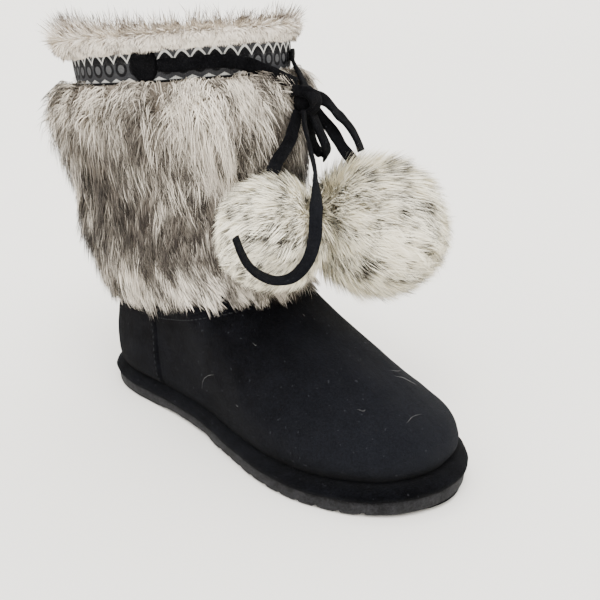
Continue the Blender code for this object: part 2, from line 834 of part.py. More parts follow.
def flat_lace(name, points, turns_about, finish):
    """A flat lace along a route, with its face away from the leg where it isn't turned."""
    mesh = bmesh.new()
    axis = Vector((COLLAR_LENGTH / 2 - HEEL_SEAT, 0, 0))
    flat, thin = LACE_WIDTH / 2, LACE_THICKNESS / 2
    corners = [(flat, 0), (flat - thin, thin), (thin - flat, thin), (-flat, 0), (thin - flat, -thin), (flat - thin, -thin)]
    loops = []
    for i, point in enumerate(points):
        tangent = Vector(points[min(i + 1, len(points) - 1)] - points[max(i - 1, 0)]).normalized()
        face = Vector(point) - axis
        face.z = 0
        face = (face - tangent * face.dot(tangent)).normalized()
        face.rotate(Matrix.Rotation(math.radians(turns_about[i]), 3, tangent))
        across = tangent.cross(face)
        loops.append(add_loop(mesh, [Vector(point) + across * a + face * b for a, b in corners]))
    skin_loops(mesh, loops)
    mesh.faces.new(loops[0])
    mesh.faces.new(loops[-1])
    return node(name, mesh, finish)


def free_lace(name, route, finish):
    """A lace that hangs, along its own table."""
    points = np.array([place[:3] for place in route])
    return flat_lace(name, points, [place.turn for place in route], finish)


def lace_run(name, route, finish):
    """The lace from its tab to the knot, on the ribbon."""
    around, height, out = np.array(route).T
    rise = RIBBON_FOOT + RIBBON_HEIGHT * height
    points = over_facets(around, rise, RIBBON_OUT + 2 * CLEARANCE + LACE_THICKNESS / 2 + out)
    return flat_lace(name, points, [0.0] * len(points), finish)


def knot(finish):
    """The knot as a lump with two wraps."""
    mesh = bmesh.new()
    bmesh.ops.create_uvsphere(mesh, u_segments=14, v_segments=10, radius=0.5)
    for vert in mesh.verts:
        way = vert.co.normalized()
        vert.co *= 1 + 0.10 * math.sin(3 * way.z + 2 * way.y) * math.cos(2 * math.atan2(way.y, way.x))
    bmesh.ops.scale(mesh, vec=KNOT_SIZE, verts=mesh.verts)
    bmesh.ops.translate(mesh, vec=KNOT_CENTRE, verts=mesh.verts)
    return node("lace_knot", mesh, finish)


def pompom(name, ball, finish):
    """A ball of fur whose locks stand out as tips."""
    mesh = bmesh.new()
    columns, rows = POMPOM_COLUMNS, POMPOM_ROWS
    bmesh.ops.create_uvsphere(mesh, u_segments=columns, v_segments=rows, radius=1.0)
    for vert in mesh.verts:
        column = round(columns * math.atan2(vert.co.y, vert.co.x) / (2 * math.pi))
        row = round(rows * math.acos(max(-1, min(1, vert.co.z))) / math.pi)
        tip = 1 if (column + row) % 2 else -1
        uneven = 1 + 0.4 * float(unevenness(1.3 * column, 2.1 * row))
        vert.co *= ball.radius * (1 - POMPOM_LOCK / 2 + POMPOM_LOCK / 2 * tip * uneven)
    bmesh.ops.translate(mesh, vec=ball[:3], verts=mesh.verts)
    return node(name, mesh, finish)


def main():
    for old in list(bpy.data.objects):
        bpy.data.objects.remove(old, do_unlink=True)
    suede = material("black_suede", (0.012, 0.013, 0.016), 0.95)
    rubber = material("dark_rubber", (0.045, 0.045, 0.048), 0.7)
    lining = material("black_fleece", (0.01, 0.01, 0.012), 1.0)
    fur = material("grey_fur", (0.42, 0.38, 0.33), 1.0)
    woven = material("woven_ribbon", (0.2, 0.2, 0.2), 0.9)
    outsole(rubber)
    midsole(suede)
    upper(suede)
    insole(lining)
    heel_counter(suede)
    vamp_seam(suede)
    ribbon(woven)
    fur_shaft(fur)
    fur_collar(fur)
    lace_tab("lace_tab_lateral", -1, suede)
    lace_tab("lace_tab_medial", 1, suede)
    lace_run("lace_lateral", LATERAL_RUN, suede)
    lace_run("lace_medial", MEDIAL_RUN, suede)
    knot(suede)
    free_lace("free_end_long", FREE_END_LONG, suede)
    free_lace("free_end_short", FREE_END_SHORT, suede)
    free_lace("bow_loop", BOW_LOOP, suede)
    free_lace("pompom_cord_lateral", POMPOM_CORD_LATERAL, suede)
    free_lace("pompom_cord_medial", POMPOM_CORD_MEDIAL, suede)
    pompom("pompom_lateral", POMPOM_LATERAL, fur)
    pompom("pompom_medial", POMPOM_MEDIAL, fur)


main()
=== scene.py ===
"""The looks of a mukluk boot: suede foot, fur sleeve and collar, woven ribbon, lace and pompoms."""

import math
from typing import NamedTuple

import bmesh
import bpy
import numpy as np
from mathutils import Matrix, Vector


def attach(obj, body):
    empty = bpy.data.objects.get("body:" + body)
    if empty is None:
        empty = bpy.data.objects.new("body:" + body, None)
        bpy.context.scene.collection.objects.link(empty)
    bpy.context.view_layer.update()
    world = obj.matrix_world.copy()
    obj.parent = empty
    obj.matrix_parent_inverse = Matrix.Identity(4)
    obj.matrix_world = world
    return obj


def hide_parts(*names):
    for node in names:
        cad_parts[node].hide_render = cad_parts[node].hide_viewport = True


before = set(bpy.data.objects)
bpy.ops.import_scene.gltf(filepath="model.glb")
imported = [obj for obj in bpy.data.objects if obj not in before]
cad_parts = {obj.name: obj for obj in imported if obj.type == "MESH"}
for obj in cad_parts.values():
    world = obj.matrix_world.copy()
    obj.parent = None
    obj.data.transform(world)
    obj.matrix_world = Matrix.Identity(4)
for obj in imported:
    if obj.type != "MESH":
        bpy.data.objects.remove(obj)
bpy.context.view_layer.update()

# The boot's sizes, as in the solids
SOLE_LENGTH = 0.275
BALL_WIDTH = 0.114
HEEL_SEAT = 0.045
TOE_SWING = 0.004
INSTEP_HEIGHT = 0.100
UPPER_HEIGHT = 0.211
COLLAR_LENGTH = 0.146
COLLAR_WIDTH = 0.113
COLLAR_SWAY = -0.006
OUTSOLE_HEIGHT = 0.0085
TOE_SPRING = 0.003
WAIST_ARCH = 0.0014
RAND_HEIGHT = 0.0068
RAND_BULGE = 0.0018
RAND_LIP = 0.0055
CLEARANCE = 0.0003
UPPER_WALL = 0.003
COUNTER_THICKNESS = 0.0012
COUNTER_REACH = 0.0795
COUNTER_TOP_REACH = 0.0725
COUNTER_RISE = 0.068
RIBBON_HEIGHT = 0.0195
RIBBON_THICKNESS = 0.0012
RIBBON_BELOW_EDGE = 0.0257
SLEEVE_EASE = 0.0015
SLEEVE_BACK = 0.0235
SLEEVE_FRONT = 0.0050
HEM_RISE = 0.059
HEM_FRONT_RISE = 0.067
EDGE_FUR_BACK = 0.0115
EDGE_FUR_FRONT = 0.0060
EDGE_FUR_TOP = 0.0050
EDGE_FUR_TURN = 0.0150
TAB_WIDTH = 0.0165
TAB_PLACE = 0.104
LACE_WIDTH = 0.0070
LACE_THICKNESS = 0.0022
KNOT_CENTRE = Vector((0.1135, 0.0115, 0.2015))
SOLE_TOP = OUTSOLE_HEIGHT + CLEARANCE + RAND_HEIGHT
UPPER_FOOT = SOLE_TOP + CLEARANCE

random = np.random.default_rng(7)


class Outline(NamedTuple):
    """Half widths of the sole over those of an ellipse as long and as wide."""

    along: float
    lateral: float
    medial: float


SOLE_OUTLINE = (
    Outline(0.00, 1.22, 1.18),
    Outline(0.08, 1.14, 1.10),
    Outline(0.16, 1.00, 0.97),
    Outline(0.30, 0.80, 0.74),
    Outline(0.45, 0.79, 0.64),
    Outline(0.58, 0.93, 0.77),
    Outline(0.70, 1.10, 1.00),
    Outline(0.80, 1.21, 1.17),
    Outline(0.88, 1.27, 1.27),
    Outline(0.94, 1.33, 1.30),
    Outline(1.00, 1.34, 1.30),
)


class Section(NamedTuple):
    """A loop of the upper in metres: heights over the sole's top, places from the heel's rear end."""

    rise: float
    front_rise: float
    back: float
    front: float
    width: float
    waist: float
    toe: float
    sway: float


def foot(rise, front_rise, back, front, width, waist, toe):
    """A loop of the foot, from shares of the instep's height, the sole's length and the ball's width."""
    return Section(
        rise * INSTEP_HEIGHT,
        front_rise * INSTEP_HEIGHT,
        back * SOLE_LENGTH,
        front * SOLE_LENGTH,
        width * BALL_WIDTH,
        waist,
        toe,
        0.0,
    )


def shaft(rise, front_rise, back, front, width):
    """A loop of the shaft, from shares of the upper's height and the collar's length and width."""
    ankle = 0.58
    return Section(
        rise * UPPER_HEIGHT,
        front_rise * UPPER_HEIGHT,
        back * COLLAR_LENGTH,
        front * COLLAR_LENGTH,
        width * COLLAR_WIDTH,
        0.0,
        0.0,
        COLLAR_SWAY * (rise - ankle) / (1 - ankle),
    )


SECTIONS = (
    foot(0.00, 0.000, 0.022, 0.972, 0.920, 1.00, 1.00),
    foot(0.07, 0.070, 0.015, 0.981, 0.950, 1.00, 1.00),
    foot(0.15, 0.148, 0.011, 0.975, 0.955, 1.00, 0.86),
    foot(0.23, 0.215, 0.009, 0.950, 0.935, 0.92, 0.58),
    foot(0.30, 0.270, 0.008, 0.915, 0.900, 0.84, 0.38),
    foot(0.36, 0.328, 0.009, 0.872, 0.870, 0.74, 0.27),
    foot(0.42, 0.402, 0.011, 0.822, 0.840, 0.62, 0.20),
    foot(0.48, 0.492, 0.014, 0.748, 0.815, 0.50, 0.12),
    foot(0.55, 0.605, 0.017, 0.660, 0.800, 0.38, 0.05),
    foot(0.63, 0.740, 0.019, 0.578, 0.790, 0.24, 0.00),
    foot(0.74, 0.920, 0.020, 0.527, 0.790, 0.10, 0.00),
    foot(0.90, 1.130, 0.019, 0.507, 0.820, 0.00, 0.00),
    shaft(0.58, 0.665, 0.030, 0.955, 0.87),
    shaft(0.72, 0.798, 0.012, 0.960, 0.93),
    shaft(0.86, 0.928, -0.008, 0.967, 0.98),
    shaft(1.00, 1.062, -0.028, 0.972, 1.00),
)
COLLAR_EDGE = SECTIONS[-1].rise
RIBBON_FOOT = COLLAR_EDGE - RIBBON_BELOW_EDGE
RIBBON_TOP = RIBBON_FOOT + RIBBON_HEIGHT
RIBBON_OUT = CLEARANCE + RIBBON_THICKNESS


class Place(NamedTuple):
    """A point on a lace's route, in metres, and how far its face is turned about it, in degrees."""

    x: float
    y: float
    z: float
    turn: float = 0.0


FREE_END_LONG = (
    Place(0.1178, 0.0060, 0.1960, -25),
    Place(0.1200, 0.0040, 0.1900, -30),
    Place(0.1230, 0.0030, 0.1835, -30),
    Place(0.1280, 0.0000, 0.1785, -30),
    Place(0.1345, -0.0045, 0.1740, -28),
    Place(0.1410, -0.0095, 0.1700, -25),
    Place(0.1475, -0.0155, 0.1660, -15),
    Place(0.1530, -0.0205, 0.1620, 0),
    Place(0.1575, -0.0255, 0.1570, 18),
    Place(0.1608, -0.0293, 0.1503, 32),
    Place(0.1624, -0.0314, 0.1431, 42),
    Place(0.1621, -0.0331, 0.1362, 50),
    Place(0.1606, -0.0351, 0.1297, 58),
    Place(0.1584, -0.0384, 0.1246, 66),
    Place(0.1558, -0.0428, 0.1214, 70),
    Place(0.1530, -0.0480, 0.1210, 68),
    Place(0.1510, -0.0545, 0.1235, 64),
    Place(0.1490, -0.0600, 0.1275, 62),
    Place(0.1470, -0.0640, 0.1330, 60),
    Place(0.1455, -0.0665, 0.1395, 60),
    Place(0.1440, -0.0680, 0.1460, 60),
)
FREE_END_SHORT = (
    Place(0.1163, 0.0196, 0.2020, 0),
    Place(0.1185, 0.0225, 0.2000, 0),
    Place(0.1210, 0.0245, 0.1970, 0),
    Place(0.1240, 0.0260, 0.1935, 0),
    Place(0.1265, 0.0280, 0.1905, 0),
    Place(0.1290, 0.0295, 0.1875, 0),
    Place(0.1312, 0.0308, 0.1842, 0),
    Place(0.1330, 0.0318, 0.1808, 0),
    Place(0.1346, 0.0326, 0.1772, 0),
    Place(0.1360, 0.0332, 0.1733, 0),
)
BOW_LOOP = (
    Place(0.1178, 0.0130, 0.1930, 0),
    Place(0.1204, 0.0135, 0.1880, 0),
    Place(0.1224, 0.0148, 0.1830, 0),
    Place(0.1235, 0.0165, 0.1785, 0),
    Place(0.1236, 0.0183, 0.1745, 0),
    Place(0.1222, 0.0200, 0.1712, 0),
    Place(0.1195, 0.0207, 0.1700, 0),
    Place(0.1167, 0.0200, 0.1712, 0),
    Place(0.1150, 0.0183, 0.1745, 0),
    Place(0.1143, 0.0165, 0.1785, 0),
    Place(0.1140, 0.0150, 0.1830, 0),
    Place(0.1136, 0.0138, 0.1875, 0),
    Place(0.1130, 0.0128, 0.1922, 0),
)
POMPOM_CORD_LATERAL = (
    Place(0.1123, 0.0065, 0.1950, 0),
    Place(0.1138, 0.0030, 0.1895, 15),
    Place(0.1160, -0.0010, 0.1855, 30),
    Place(0.1175, -0.0040, 0.1825, 40),
    Place(0.1190, -0.0080, 0.1795, 48),
    Place(0.1210, -0.0130, 0.1770, 50),
    Place(0.1228, -0.0180, 0.1745, 50),
    Place(0.1245, -0.0225, 0.1715, 50),
    Place(0.1265, -0.0265, 0.1686, 50),
)
POMPOM_CORD_MEDIAL = (
    Place(0.1121, 0.0198, 0.1962, 0),
    Place(0.1145, 0.0230, 0.1910, 15),
    Place(0.1175, 0.0255, 0.1865, 30),
    Place(0.1205, 0.0270, 0.1825, 40),
    Place(0.1240, 0.0272, 0.1785, 45),
    Place(0.1275, 0.0270, 0.1750, 45),
    Place(0.1315, 0.0272, 0.1715, 45),
    Place(0.1350, 0.0278, 0.1680, 45),
    Place(0.1362, 0.0282, 0.1646, 45),
)


class Run(NamedTuple):
    """A point of the lace on the boot: a share of a turn, a share of the ribbon's height and how far out."""

    around: float
    height: float
    out: float


LATERAL_RUN = (
    Run(0.350, 0.46, 0.0),
    Run(0.370, 0.44, 0.0),
    Run(0.385, 0.44, 0.0),
    Run(0.400, 0.46, 0.0),
    Run(0.415, 0.47, 0.0),
    Run(0.430, 0.46, 0.0),
    Run(0.446, 0.43, 0.0004),
    Run(0.463, 0.35, 0.0014),
    Run(0.480, 0.22, 0.0030),
    Run(0.496, 0.06, 0.0052),
    Run(0.511, -0.10, 0.0076),
    Run(0.523, -0.21, 0.0094),
    Run(0.531, -0.28, 0.0103),
)
MEDIAL_RUN = (
    Run(0.650, 0.44, 0.0),
    Run(0.630, 0.44, 0.0),
    Run(0.615, 0.44, 0.0),
    Run(0.602, 0.46, 0.0),
    Run(0.590, 0.45, 0.0),
    Run(0.579, 0.40, 0.0004),
    Run(0.569, 0.30, 0.0016),
    Run(0.560, 0.15, 0.0042),
    Run(0.552, -0.08, 0.0080),
    Run(0.546, -0.30, 0.0112),
    Run(0.543, -0.44, 0.0128),
)


class Ball(NamedTuple):
    """A pompom: its middle in metres and its radius."""

    x: float
    y: float
    z: float
    radius: float


POMPOM_LATERAL = Ball(0.1300, -0.0285, 0.1375, 0.0295)
POMPOM_MEDIAL = Ball(0.1480, 0.0320, 0.1325, 0.0352)


def curve(places, values, at):
    """Values on a smooth curve through those at places."""
    slopes = np.gradient(values, places)
    at = np.clip(at, places[0], places[-1])
    low = np.clip(np.searchsorted(places, at, side="right") - 1, 0, len(places) - 2)
    step = places[low + 1] - places[low]
    t = (at - places[low]) / step
    return (
        values[low] * (1 + 2 * t) * (1 - t) ** 2
        + values[low + 1] * t * t * (3 - 2 * t)
        + slopes[low] * step * t * (1 - t) ** 2
        - slopes[low + 1] * step * t * t * (1 - t)
    )


def smooth(table, column, at):
    """A column of a table, on a smooth curve through its rows, at places along the first column."""
    return curve(np.array([row[0] for row in table]), np.array([getattr(row, column) for row in table]), at)


def route(points, count):
    """Evenly spaced points on a smooth curve through these."""
    points = np.asarray(points, dtype=float)
    steps = np.linalg.norm(np.diff(points[:, :3], axis=0), axis=1)
    places = np.concatenate([[0], np.cumsum(steps)])
    at = np.linspace(0, places[-1], count)
    return np.stack([curve(places, column, at) for column in points.T], axis=1)


def ease(value):
    """From 0 to 1 with level ends."""
    value = np.clip(value, 0.0, 1.0)
    return value * value * (3 - 2 * value)


def fullness(along, around):
    """The foot outline's half width over an ellipse's, on the side where the place around lies."""
    lateral = smooth(SOLE_OUTLINE, "lateral", along)
    medial = smooth(SOLE_OUTLINE, "medial", along)
    return np.where(around % 1.0 < 0.5, lateral, medial)


def sole_edge(around, inset):
    """Points of the sole's outline at zero height, drawn in by inset."""

    def edge(at):
        along = (1 - np.cos(2 * math.pi * at)) / 2
        half = BALL_WIDTH / 2 * np.abs(np.sin(2 * math.pi * at)) * fullness(along, at)
        side = np.where(at % 1.0 < 0.5, -1.0, 1.0)
        y = TOE_SWING * along**2 + side * half
        return np.stack([along * SOLE_LENGTH - HEEL_SEAT, y, np.zeros_like(y)], axis=-1)

    step = 0.004
    tangent = edge(around + step) - edge(around - step)
    outward = np.stack([tangent[..., 1], -tangent[..., 0], tangent[..., 2]], axis=-1)
    outward /= np.linalg.norm(outward, axis=-1)[..., None]
    return edge(around) - outward * np.asarray(inset)[..., None]


def spring(x):
    """How far the sole has risen from the floor towards the toe."""
    along = (x + HEEL_SEAT) / SOLE_LENGTH
    start = 0.78
    return TOE_SPRING * np.clip((along - start) / (1 - start), 0, None) ** 2


def upper_surface(around, rise):
    """Points on the upper's outside. Both arguments are arrays of one shape."""
    along = (1 - np.cos(2 * math.pi * around)) / 2
    back, front = (smooth(SECTIONS, name, rise) for name in ("back", "front"))
    low = smooth(SECTIONS, "rise", rise)
    high = smooth(SECTIONS, "front_rise", rise)
    waist_left, toe_left = (smooth(SECTIONS, name, rise) for name in ("waist", "toe"))
    left = waist_left + (toe_left - waist_left) * ease((along - 0.5) / 0.3)
    shape = 1 + (fullness(along, around) - 1) * left
    half = smooth(SECTIONS, "width", rise) / 2 * np.abs(np.sin(2 * math.pi * around)) * shape
    side = np.where(around % 1.0 < 0.5, -1.0, 1.0)
    x = back + (front - back) * along - HEEL_SEAT
    y = TOE_SWING * along**2 * waist_left + smooth(SECTIONS, "sway", rise) + side * half
    z = UPPER_FOOT + low + (high - low) * along + spring(x)
    return np.stack([x, y, z], axis=-1)


def outward(around, rise):
    """The way out of the upper's outside, at right angles to it."""
    nudge = 2e-4
    top = SECTIONS[-1].rise
    across = upper_surface(around + nudge, rise) - upper_surface(around - nudge, rise)
    up = upper_surface(around, np.minimum(rise + nudge, top)) - upper_surface(
        around, np.maximum(np.minimum(rise, top) - nudge, 0)
    )
    out = np.cross(across, up)
    return out / np.linalg.norm(out, axis=-1)[..., None]


def skin(around, rise, out):
    """Points that lie out from the upper's outside, straight on past the collar's edge."""
    around, rise, out = np.broadcast_arrays(around, rise, out)
    top = SECTIONS[-1].rise
    held = np.minimum(rise, top)
    past = (rise - held)[..., None]
    nudge = 2e-3
    upward = (upper_surface(around, held) - upper_surface(around, held - nudge)) / nudge
    return upper_surface(around, held) + outward(around, held) * out[..., None] + upward * past


class Wire:
    """A node's output, with which sums can be written."""

    def __init__(self, finish, socket):
        self.finish = finish
        self.socket = socket

    def sum(self, operation, *values):
        return self.finish.node("ShaderNodeMath", {"operation": operation}, *values)

    def __add__(self, other):
        return self.sum("ADD", self, other)

    __radd__ = __add__

    def __sub__(self, other):
        return self.sum("SUBTRACT", self, other)

    def __rsub__(self, other):
        return self.sum("SUBTRACT", other, self)

    def __mul__(self, other):
        return self.sum("MULTIPLY", self, other)

    __rmul__ = __mul__

    def __truediv__(self, other):
        return self.sum("DIVIDE", self, other)

    def __pow__(self, other):
        return self.sum("POWER", self, other)

    def __abs__(self):
        return self.sum("ABSOLUTE", self)

    def fraction(self):
        return self.sum("FRACT", self)


def label(name):
    """The shader's own name of a socket."""
    return " ".join("IOR" if word == "ior" else word.capitalize() for word in name.split("_"))


class Finish:
    """A material with one Principled shader, and the ways to add nodes before it."""

    def __init__(self, name, **constants):
        self.material = bpy.data.materials.new(name)
        self.material.use_nodes = True
        self.tree = self.material.node_tree
        self.shader = self.tree.nodes["Principled BSDF"]
        for socket, value in constants.items():
            self.shader.inputs[label(socket)].default_value = value

    def node(self, kind, settings, *values, out=0, **named):
        """Adds a node. Its settings are set first, then its sockets get values or links."""
        made = self.tree.nodes.new(kind)
        for key, value in settings.items():
            if key == "stops":
                stops = made.color_ramp.elements
                while len(stops) < len(value):
                    stops.new(0.5)
                for stop, (place, colour) in zip(stops, value):
                    stop.position = place
                    stop.color = (*colour, 1.0)
            else:
                setattr(made, key, value)
        for key, value in [*enumerate(values), *named.items()]:
            socket = made.inputs[key if isinstance(key, int) else label(key)]
            if isinstance(value, Wire):
                self.tree.links.new(value.socket, socket)
            elif value is not None:
                socket.default_value = (*value, 1.0) if socket.type == "RGBA" else value
        return Wire(self, made.outputs[out])

    def place(self):
        """The point on the piece, in metres."""
        return self.node("ShaderNodeTexCoord", {}, out=3)

    def parts(self, kind, wire):
        """The first two numbers of a vector or a colour."""
        first = self.node(kind, {}, wire)
        return first, Wire(self, first.socket.node.outputs[1])

    def uv(self):
        """Across and up on the piece's own UV map."""
        return self.parts("ShaderNodeSeparateXYZ", self.node("ShaderNodeTexCoord", {}, out=2))

    def hair(self):
        """A hair's tone, and how far along it a point lies."""
        hair = self.node("ShaderNodeAttribute", {"attribute_name": "hair"})
        return self.parts("ShaderNodeSeparateColor", hair)

    def stretched(self, x, y, z):
        """The point, with each axis times a number."""
        return self.node("ShaderNodeMapping", {}, self.place(), None, None, (x, y, z))

    def noise(self, size, detail=2.0, roughness=0.5, where=None):
        """Noise from 0 to 1 with lumps of about that size in metres."""
        where = self.place() if where is None else where
        return self.node("ShaderNodeTexNoise", {}, where, scale=1 / size, detail=detail, roughness=roughness)

    def ramp(self, value, *stops):
        """A colour for a value, between those at places from 0 to 1."""
        return self.node("ShaderNodeValToRGB", {"stops": stops}, value)

    def between(self, value, low, high):
        """0 at low, 1 at high, and smooth in between."""
        settings = {"interpolation_type": "SMOOTHSTEP"}
        return self.node("ShaderNodeMapRange", settings, value, low, high, 0.0, 1.0)

    def mix(self, factor, first, second, blend="MIX"):
        """A colour between two."""
        settings = {"data_type": "RGBA", "blend_type": blend}
        return self.node("ShaderNodeMix", settings, factor, *[None] * 5, first, second, out=2)

    def feed(self, **sockets):
        """Links what changes over the surface to the shader."""
        for socket, wire in sockets.items():
            self.tree.links.new(wire.socket, self.shader.inputs[label(socket)])

    def bump(self, height, distance, strength=1.0):
        """A normal that makes a surface look as rough as the height, times a distance in metres."""
        return self.node("ShaderNodeBump", {}, strength=strength, distance=distance, height=height)


def suede_finish(name, dark=(0.0007, 0.0008, 0.0012), light=(0.0044, 0.0048, 0.0066)):
    """Brushed black suede: short nap, lighter where it was stroked the other way, pale dust specks, and a
    painted highlight on the forefoot above the rand.
    """
    made = Finish(name, roughness=0.95, sheen_weight=0.014, sheen_roughness=0.4, specular_ior_level=0.035)
    strokes = made.noise(0.011, 3.0, 0.55)
    patches = made.noise(0.045, 2.0, 0.5)
    nap = made.noise(0.0013, 3.0, 0.75)
    specks = made.between(made.noise(0.0022, 1.0, 0.4), 0.72, 0.78)
    tone = strokes * 0.30 + patches * 0.22 + nap * 0.55
    colour = made.ramp(tone, (0.44, dark), (0.66, light))
    x = made.node("ShaderNodeSeparateXYZ", {}, made.place())
    z = Wire(made, x.socket.node.outputs[2])
    # Painted highlight: the forefoot above the rand is lightened to a paler blue-black, as where light falls
    # on the toe
    wear_and_painted_highlight, dust = (0.0135, 0.0148, 0.0190), (0.045, 0.046, 0.052)
    instep, toe, rand_top, above_rand = 0.10, 0.215, 0.017, 0.030
    toe_highlight_mask = made.between(x, instep, toe) * made.between(z, rand_top, above_rand)
    colour = made.mix(toe_highlight_mask * (0.15 + nap * 0.6), colour, wear_and_painted_highlight)
    made.feed(base_color=made.mix(specks * 0.35, colour, dust))
    grain = made.noise(0.0008, 3.0, 0.8)
    made.feed(normal=made.bump(grain * 0.8 + strokes * 0.4, 0.0014, 1.0))
    return made.material


def rubber_finish():
    """Dark grey rubber, a little dusty, with a moulded grain."""
    made = Finish("dark_rubber", specular_ior_level=0.14)
    dust = made.noise(0.006, 4.0, 0.65)
    fine = made.noise(0.0014, 4.0, 0.8)
    tone = dust * 0.35 + fine * 0.65
    made.feed(base_color=made.ramp(tone, (0.40, (0.0035, 0.0035, 0.0040)), (0.64, (0.027, 0.027, 0.030))))
    made.feed(roughness=0.62 + fine * 0.2)
    made.feed(normal=made.bump(fine, 0.0012, 1.0))
    return made.material


def fleece_finish():
    """Black curly fleece of the lining."""
    made = Finish("black_fleece", roughness=1.0, specular_ior_level=0.05)
    curls = made.noise(0.0022, 3.0, 0.6)
    made.feed(base_color=made.ramp(curls, (0.35, (0.003, 0.003, 0.004)), (0.75, (0.020, 0.020, 0.023))))
    made.feed(normal=made.bump(curls, 0.0015, 0.9))
    return made.material


class Fur(NamedTuple):
    """A fur's colours, how little of it has dark tips, its dark patches' size and upright stretch, how pale
    its roots are under their painted shade, as a share of its mid colour, and the share of a hair where its
    dark tip begins.
    """

    pale: tuple
    mid: tuple
    dark: tuple
    clear: float
    patch: float
    drop: float
    root: float
    tip: float


# root is the painted shade at the hairs' roots, as a share of the mid colour
SLEEVE_FUR = Fur(
    pale=(0.84, 0.765, 0.655),
    mid=(0.200, 0.169, 0.137),
    dark=(0.018, 0.013, 0.010),
    clear=0.365,
    patch=0.022,
    drop=0.5,
    root=0.62,
    tip=0.35,
)
COLLAR_FUR = Fur(
    pale=(0.95, 0.88, 0.78),
    mid=(0.72, 0.64, 0.54),
    dark=(0.13, 0.105, 0.09),
    clear=0.50,
    patch=0.018,
    drop=0.8,
    root=0.72,
    tip=0.35,
)
POMPOM_FUR = Fur(
    pale=(1.0, 0.95, 0.79),
    mid=(0.86, 0.79, 0.62),
    dark=(0.020, 0.016, 0.013),
    clear=0.475,
    patch=0.016,
    drop=1.0,
    root=0.90,
    tip=0.12,
)


def fur_finish(name, fur):
    """Hair, pale along its length, with painted shade at its roots and tips that are dark in patches."""
    made = Finish(name, roughness=0.65, specular_ior_level=0.25)
    tone, up = made.hair()
    where = made.stretched(1.0, 1.0, fur.drop)
    patch = made.noise(fur.patch, 2.0, 0.5, where=where)
    streak = made.noise(fur.patch / 2, 2.0, 0.6, where=where)
    softness, tip_length = 0.18, 0.45
    darkness = patch * 0.65 + streak * 0.35 + 0.32 - tone * 0.58
    darkness = made.between(darkness, fur.clear, fur.clear + softness)
    body = made.mix(tone, fur.mid, fur.pale)
    # Painted shade at the roots: the lowest part of each hair is darkened to the mid colour times root
    with_painted_root_shade = made.mix(made.between(up, 0.0, 0.35), tuple(fur.root * part for part in fur.mid), body)
    tipped = darkness * made.between(up, fur.tip, fur.tip + tip_length)
    made.feed(base_color=made.mix(tipped, with_painted_root_shade, fur.dark))
    return made.material


def underfur_finish(name, fur):
    """The dense fur under the hairs, coloured with painted shade: from the roots' painted shade to the mid
    colour.
    """
    made = Finish(name, roughness=1.0, specular_ior_level=0.1)
    lumps = made.noise(0.005, 3.0, 0.6, where=made.stretched(1.0, 1.0, 0.4))
    # Painted shade: the darkest colour is the mid colour times the roots' painted shade
    shade = tuple(fur.root * part for part in fur.mid)
    made.feed(base_color=made.ramp(lumps, (0.35, shade), (0.70, fur.mid)))
    made.feed(normal=made.bump(lumps, 0.002, 0.9))
    return made.material


RIBBON_REPEATS = 46
RIBBON_STEPS = 10
RIBBON_ROWS = 16


def ribbon_finish():
    """Woven ribbon: a dark border, white arches, ovals and white teeth, all from threads.

    Down goes from 0 at the band's top to 1 at its foot, and side from 0 in an oval's middle to 1 between two.
    """
    made = Finish("woven_ribbon", roughness=0.85, specular_ior_level=0.1)
    across, up = made.uv()
    down = 1 - up * (RIBBON_ROWS / RIBBON_STEPS)
    side = abs((across * RIBBON_REPEATS).fraction() - 0.5) * 2
    black, grey, white = (0.003, 0.003, 0.004), (0.090, 0.092, 0.097), (0.66, 0.66, 0.64)
    border, ground = (0.035, 0.036, 0.039), (0.042, 0.043, 0.047)
    arch_top, arch_drop, arch_power = 0.17, 0.25, 1.6
    oval_middle, oval_width, oval_height = 0.60, 0.80, 0.20
    band_foot, tooth_height = 0.95, 0.11
    threads, wefts = 8, 22

    colour = made.mix(made.between(down, 0.10, 0.13), border, ground)
    arch = down - arch_top - arch_drop * side**arch_power
    under_arch = made.between(arch, 0.02, 0.05) * made.between(down, 0.46, 0.40)
    colour = made.mix(under_arch, colour, black)
    colour = made.mix(made.between(abs(arch), 0.055, 0.030), colour, white)
    oval = ((side / oval_width) ** 2 + (abs(down - oval_middle) / oval_height) ** 2) ** 0.5
    colour = made.mix(made.between(oval, 1.12, 1.00) * made.between(down, 0.38, 0.44), colour, black)
    colour = made.mix(made.between(oval, 0.66, 0.54), colour, grey)
    tooth = down - band_foot + tooth_height * side
    colour = made.mix(made.between(tooth, 0.0, 0.03) * made.between(down, 0.96, 0.93), colour, white)
    colour = made.mix(made.between(down, band_foot, band_foot + 0.02), colour, black)
    thread = abs((across * (RIBBON_REPEATS * threads)).fraction() - 0.5) * 2
    weft = abs((down * wefts).fraction() - 0.5) * 2
    weave = thread * 0.5 + weft * 0.5
    colour = made.mix(0.30 - weave * 0.30, colour, (0.02, 0.02, 0.022))
    wear_and_painted_highlight = made.between(made.noise(0.004, 3.0, 0.6), 0.5, 0.9)
    made.feed(base_color=made.mix(wear_and_painted_highlight * 0.3, colour, (0.12, 0.12, 0.12)))
    made.feed(normal=made.bump(weave, 0.0005, 0.8))
    return made.material


def thread_finish():
    """Black sewing thread, a little shinier than the suede."""
    made = Finish("black_thread", roughness=0.7, specular_ior_level=0.15)
    twist = made.noise(0.0006, 1.0, 0.5)
    made.feed(base_color=made.ramp(twist, (0.3, (0.002, 0.002, 0.003)), (0.8, (0.011, 0.011, 0.013))))
    return made.material


